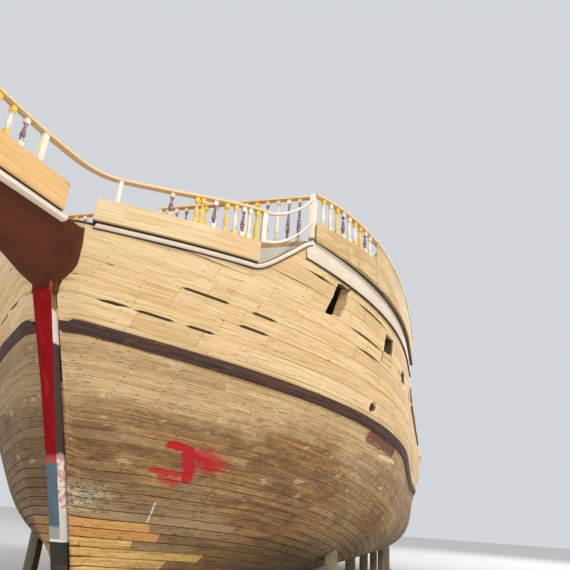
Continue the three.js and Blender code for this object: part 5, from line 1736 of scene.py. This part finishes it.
f = Finish("cast_bronze", 0.4, 0.85)
place = f.place()
cast = f.noise(place, (9, 9, 9), 5.0, 0.62)
colour = f.blend(f.ramp(cast, 0.4, 0.7), paint(188, 142, 74), paint(112, 92, 56))
bronze = f.finish(colour, 0.3 + cast * 0.35, cast, 0.003, 0.4)
SCREW = Vector((-12.42, 0, 1.35))
screw_parts = []
BLADE_ROOT, BLADE_TIP = 0.06, 0.62
for k in range(3):
    rows = []
    for r in spread(BLADE_ROOT, BLADE_TIP, 16):
        s = (r - BLADE_ROOT) / (BLADE_TIP - BLADE_ROOT)
        chord = 0.13 + 0.2 * math.sin(math.pi * min(s * 0.62 + 0.12, 1)) * (1 - s ** 5) - 0.10 * s ** 6
        pitch = mix(0.95, 0.34, s ** 0.7)
        ring = []
        for a in spread(0, 2 * math.pi, 14)[:-1]:
            run, thick = 0.5 * chord * math.cos(a), mix(0.022, 0.006, s) * math.sin(a)
            ring.append(Vector((run * math.sin(pitch) + thick * math.cos(pitch),
                                run * math.cos(pitch) - thick * math.sin(pitch), r)))
        rows.append(ring)
    blade = tube(rows)
    blade.data.transform(Matrix.Rotation(2 * math.pi * k / 3 + 0.4, 4, "X"))
    screw_parts.append(blade)
BOSS = [(0.05, -0.3), (0.055, -0.29), (0.06, -0.22), (0.098, -0.13), (0.11, -0.1), (0.11, 0.12),
        (0.1, 0.135), (0.06, 0.137), (0.05, 0.138), (0.05, 0.3)]
boss = lathe(BOSS, 28)
boss.data.transform(to_x)
screw = merge("screw_propeller", [*screw_parts, boss])
screw.data.transform(Matrix.Translation(SCREW))
smoothed(faced(screw), 50)
wear([screw], bronze)
settle([screw], "propeller", ["propeller"])

# Blocks and shores: old weathered beams laid as keel blocks on two sleepers.
# Square shores stand on sills under the bilges, wedged against the planking.


def ground_timber(name, along, across):
    f = Finish(name, 0.85)
    place = f.place()
    board = f.vector(f.axis(place, along), f.axis(place, across), f.axis(place, "Z") * 0.7)
    streak, band = grain(f, board, 0.4)
    mud = f.noise(place, (2.4, 2.4, 2.4), 5.0, 0.66)
    colour = f.blend(streak, paint(156, 140, 116), paint(104, 90, 70))
    colour = f.blend(f.ramp(band, 0.5, 0.75) * 0.6, colour, paint(84, 72, 56))
    colour = f.blend(f.ramp(f.axis(place, "Z") + mud * 0.3, 0.42, 0.14) * 0.5, colour, paint(110, 96, 78))
    return f.finish(colour, None, streak * 0.8 + mud * 0.4, 0.015, 0.6)


blocks = eased("keel_blocks", "keel_block_beams", 0.012)
wear([blocks], ground_timber("weathered_beams", "Y", "X"), ground_timber("weathered_sleepers", "X", "Y"))
split_faces(blocks, lambda face: face.center.z < 0.128, 1)
settle([blocks], instead=["keel_blocks"])
shore_wood = ground_timber("weathered_shores", "Z", "Y")
sill_wood = ground_timber("weathered_sills", "X", "Y")
for part in ("port", "starboard"):
    shore = eased("shores_" + part, "shore_posts_" + part, 0.01)
    wear([shore], shore_wood, sill_wood)
    split_faces(shore, lambda face: face.center.z < 0.142, 1)
    settle([shore], instead=["shores_" + part])

# Floor, lamps and camera: a pale floor under soft lamps.
# The camera stands at eye height under the port bow.

bpy.ops.mesh.primitive_plane_add(size=300, location=(0, 0, -0.001))
ground = bpy.context.active_object
ground.name = "floor"
f = Finish("pale_floor", 0.9)
cloud = f.noise(f.place(), (0.5, 0.5, 0.5))
wear([ground], f.finish(f.blend(cloud, paint(226, 224, 220), paint(220, 218, 214))))

world = bpy.data.worlds.new("pale_room")
world.use_nodes = True
sky = world.node_tree.nodes["Background"]
sky.inputs["Color"].default_value = (0.90, 0.93, 0.98, 1)
sky.inputs["Strength"].default_value = 0.72
bpy.context.scene.world = world
bpy.context.scene.view_settings.view_transform = "Standard"

# name, place, aim, size, power, colour
LAMPS = [("key_lamp", (34, 27, 30), (4, 0, 4), 10, 12500, (1.0, 0.94, 0.84)),
         ("fill_lamp", (30, -22, 12), (6, 0, 3), 20, 1200, (0.92, 0.96, 1.0)),
         ("stern_lamp", (-34, 18, 24), (-4, 0, 4), 18, 6000, (0.96, 0.98, 1.0))]
for name, spot, aim, size, power, colour in LAMPS:
    bpy.ops.object.light_add(type="AREA", location=spot)
    lamp = bpy.context.active_object
    lamp.name = name
    lamp.data.size, lamp.data.energy, lamp.data.color = size, power, colour
    lamp.rotation_mode = "QUATERNION"
    lamp.rotation_quaternion = (Vector(aim) - Vector(spot)).to_track_quat("-Z", "Y")

forward = Vector((-0.88399, -0.24913, 0.39559))
level = Vector((-0.27126, 0.96251, 0))
ROLL = math.radians(4.143)
bpy.ops.object.camera_add(location=(17.785, 5.421, 1.728))
camera = bpy.context.active_object
camera.data.sensor_width, camera.data.lens, camera.data.clip_end = 36, 34.52, 500
right = level * math.cos(ROLL) + level.cross(forward) * math.sin(ROLL)
camera.rotation_mode = "QUATERNION"
camera.rotation_quaternion = Matrix((right, right.cross(forward), -forward)).transposed().to_quaternion()
bpy.context.scene.camera = camera
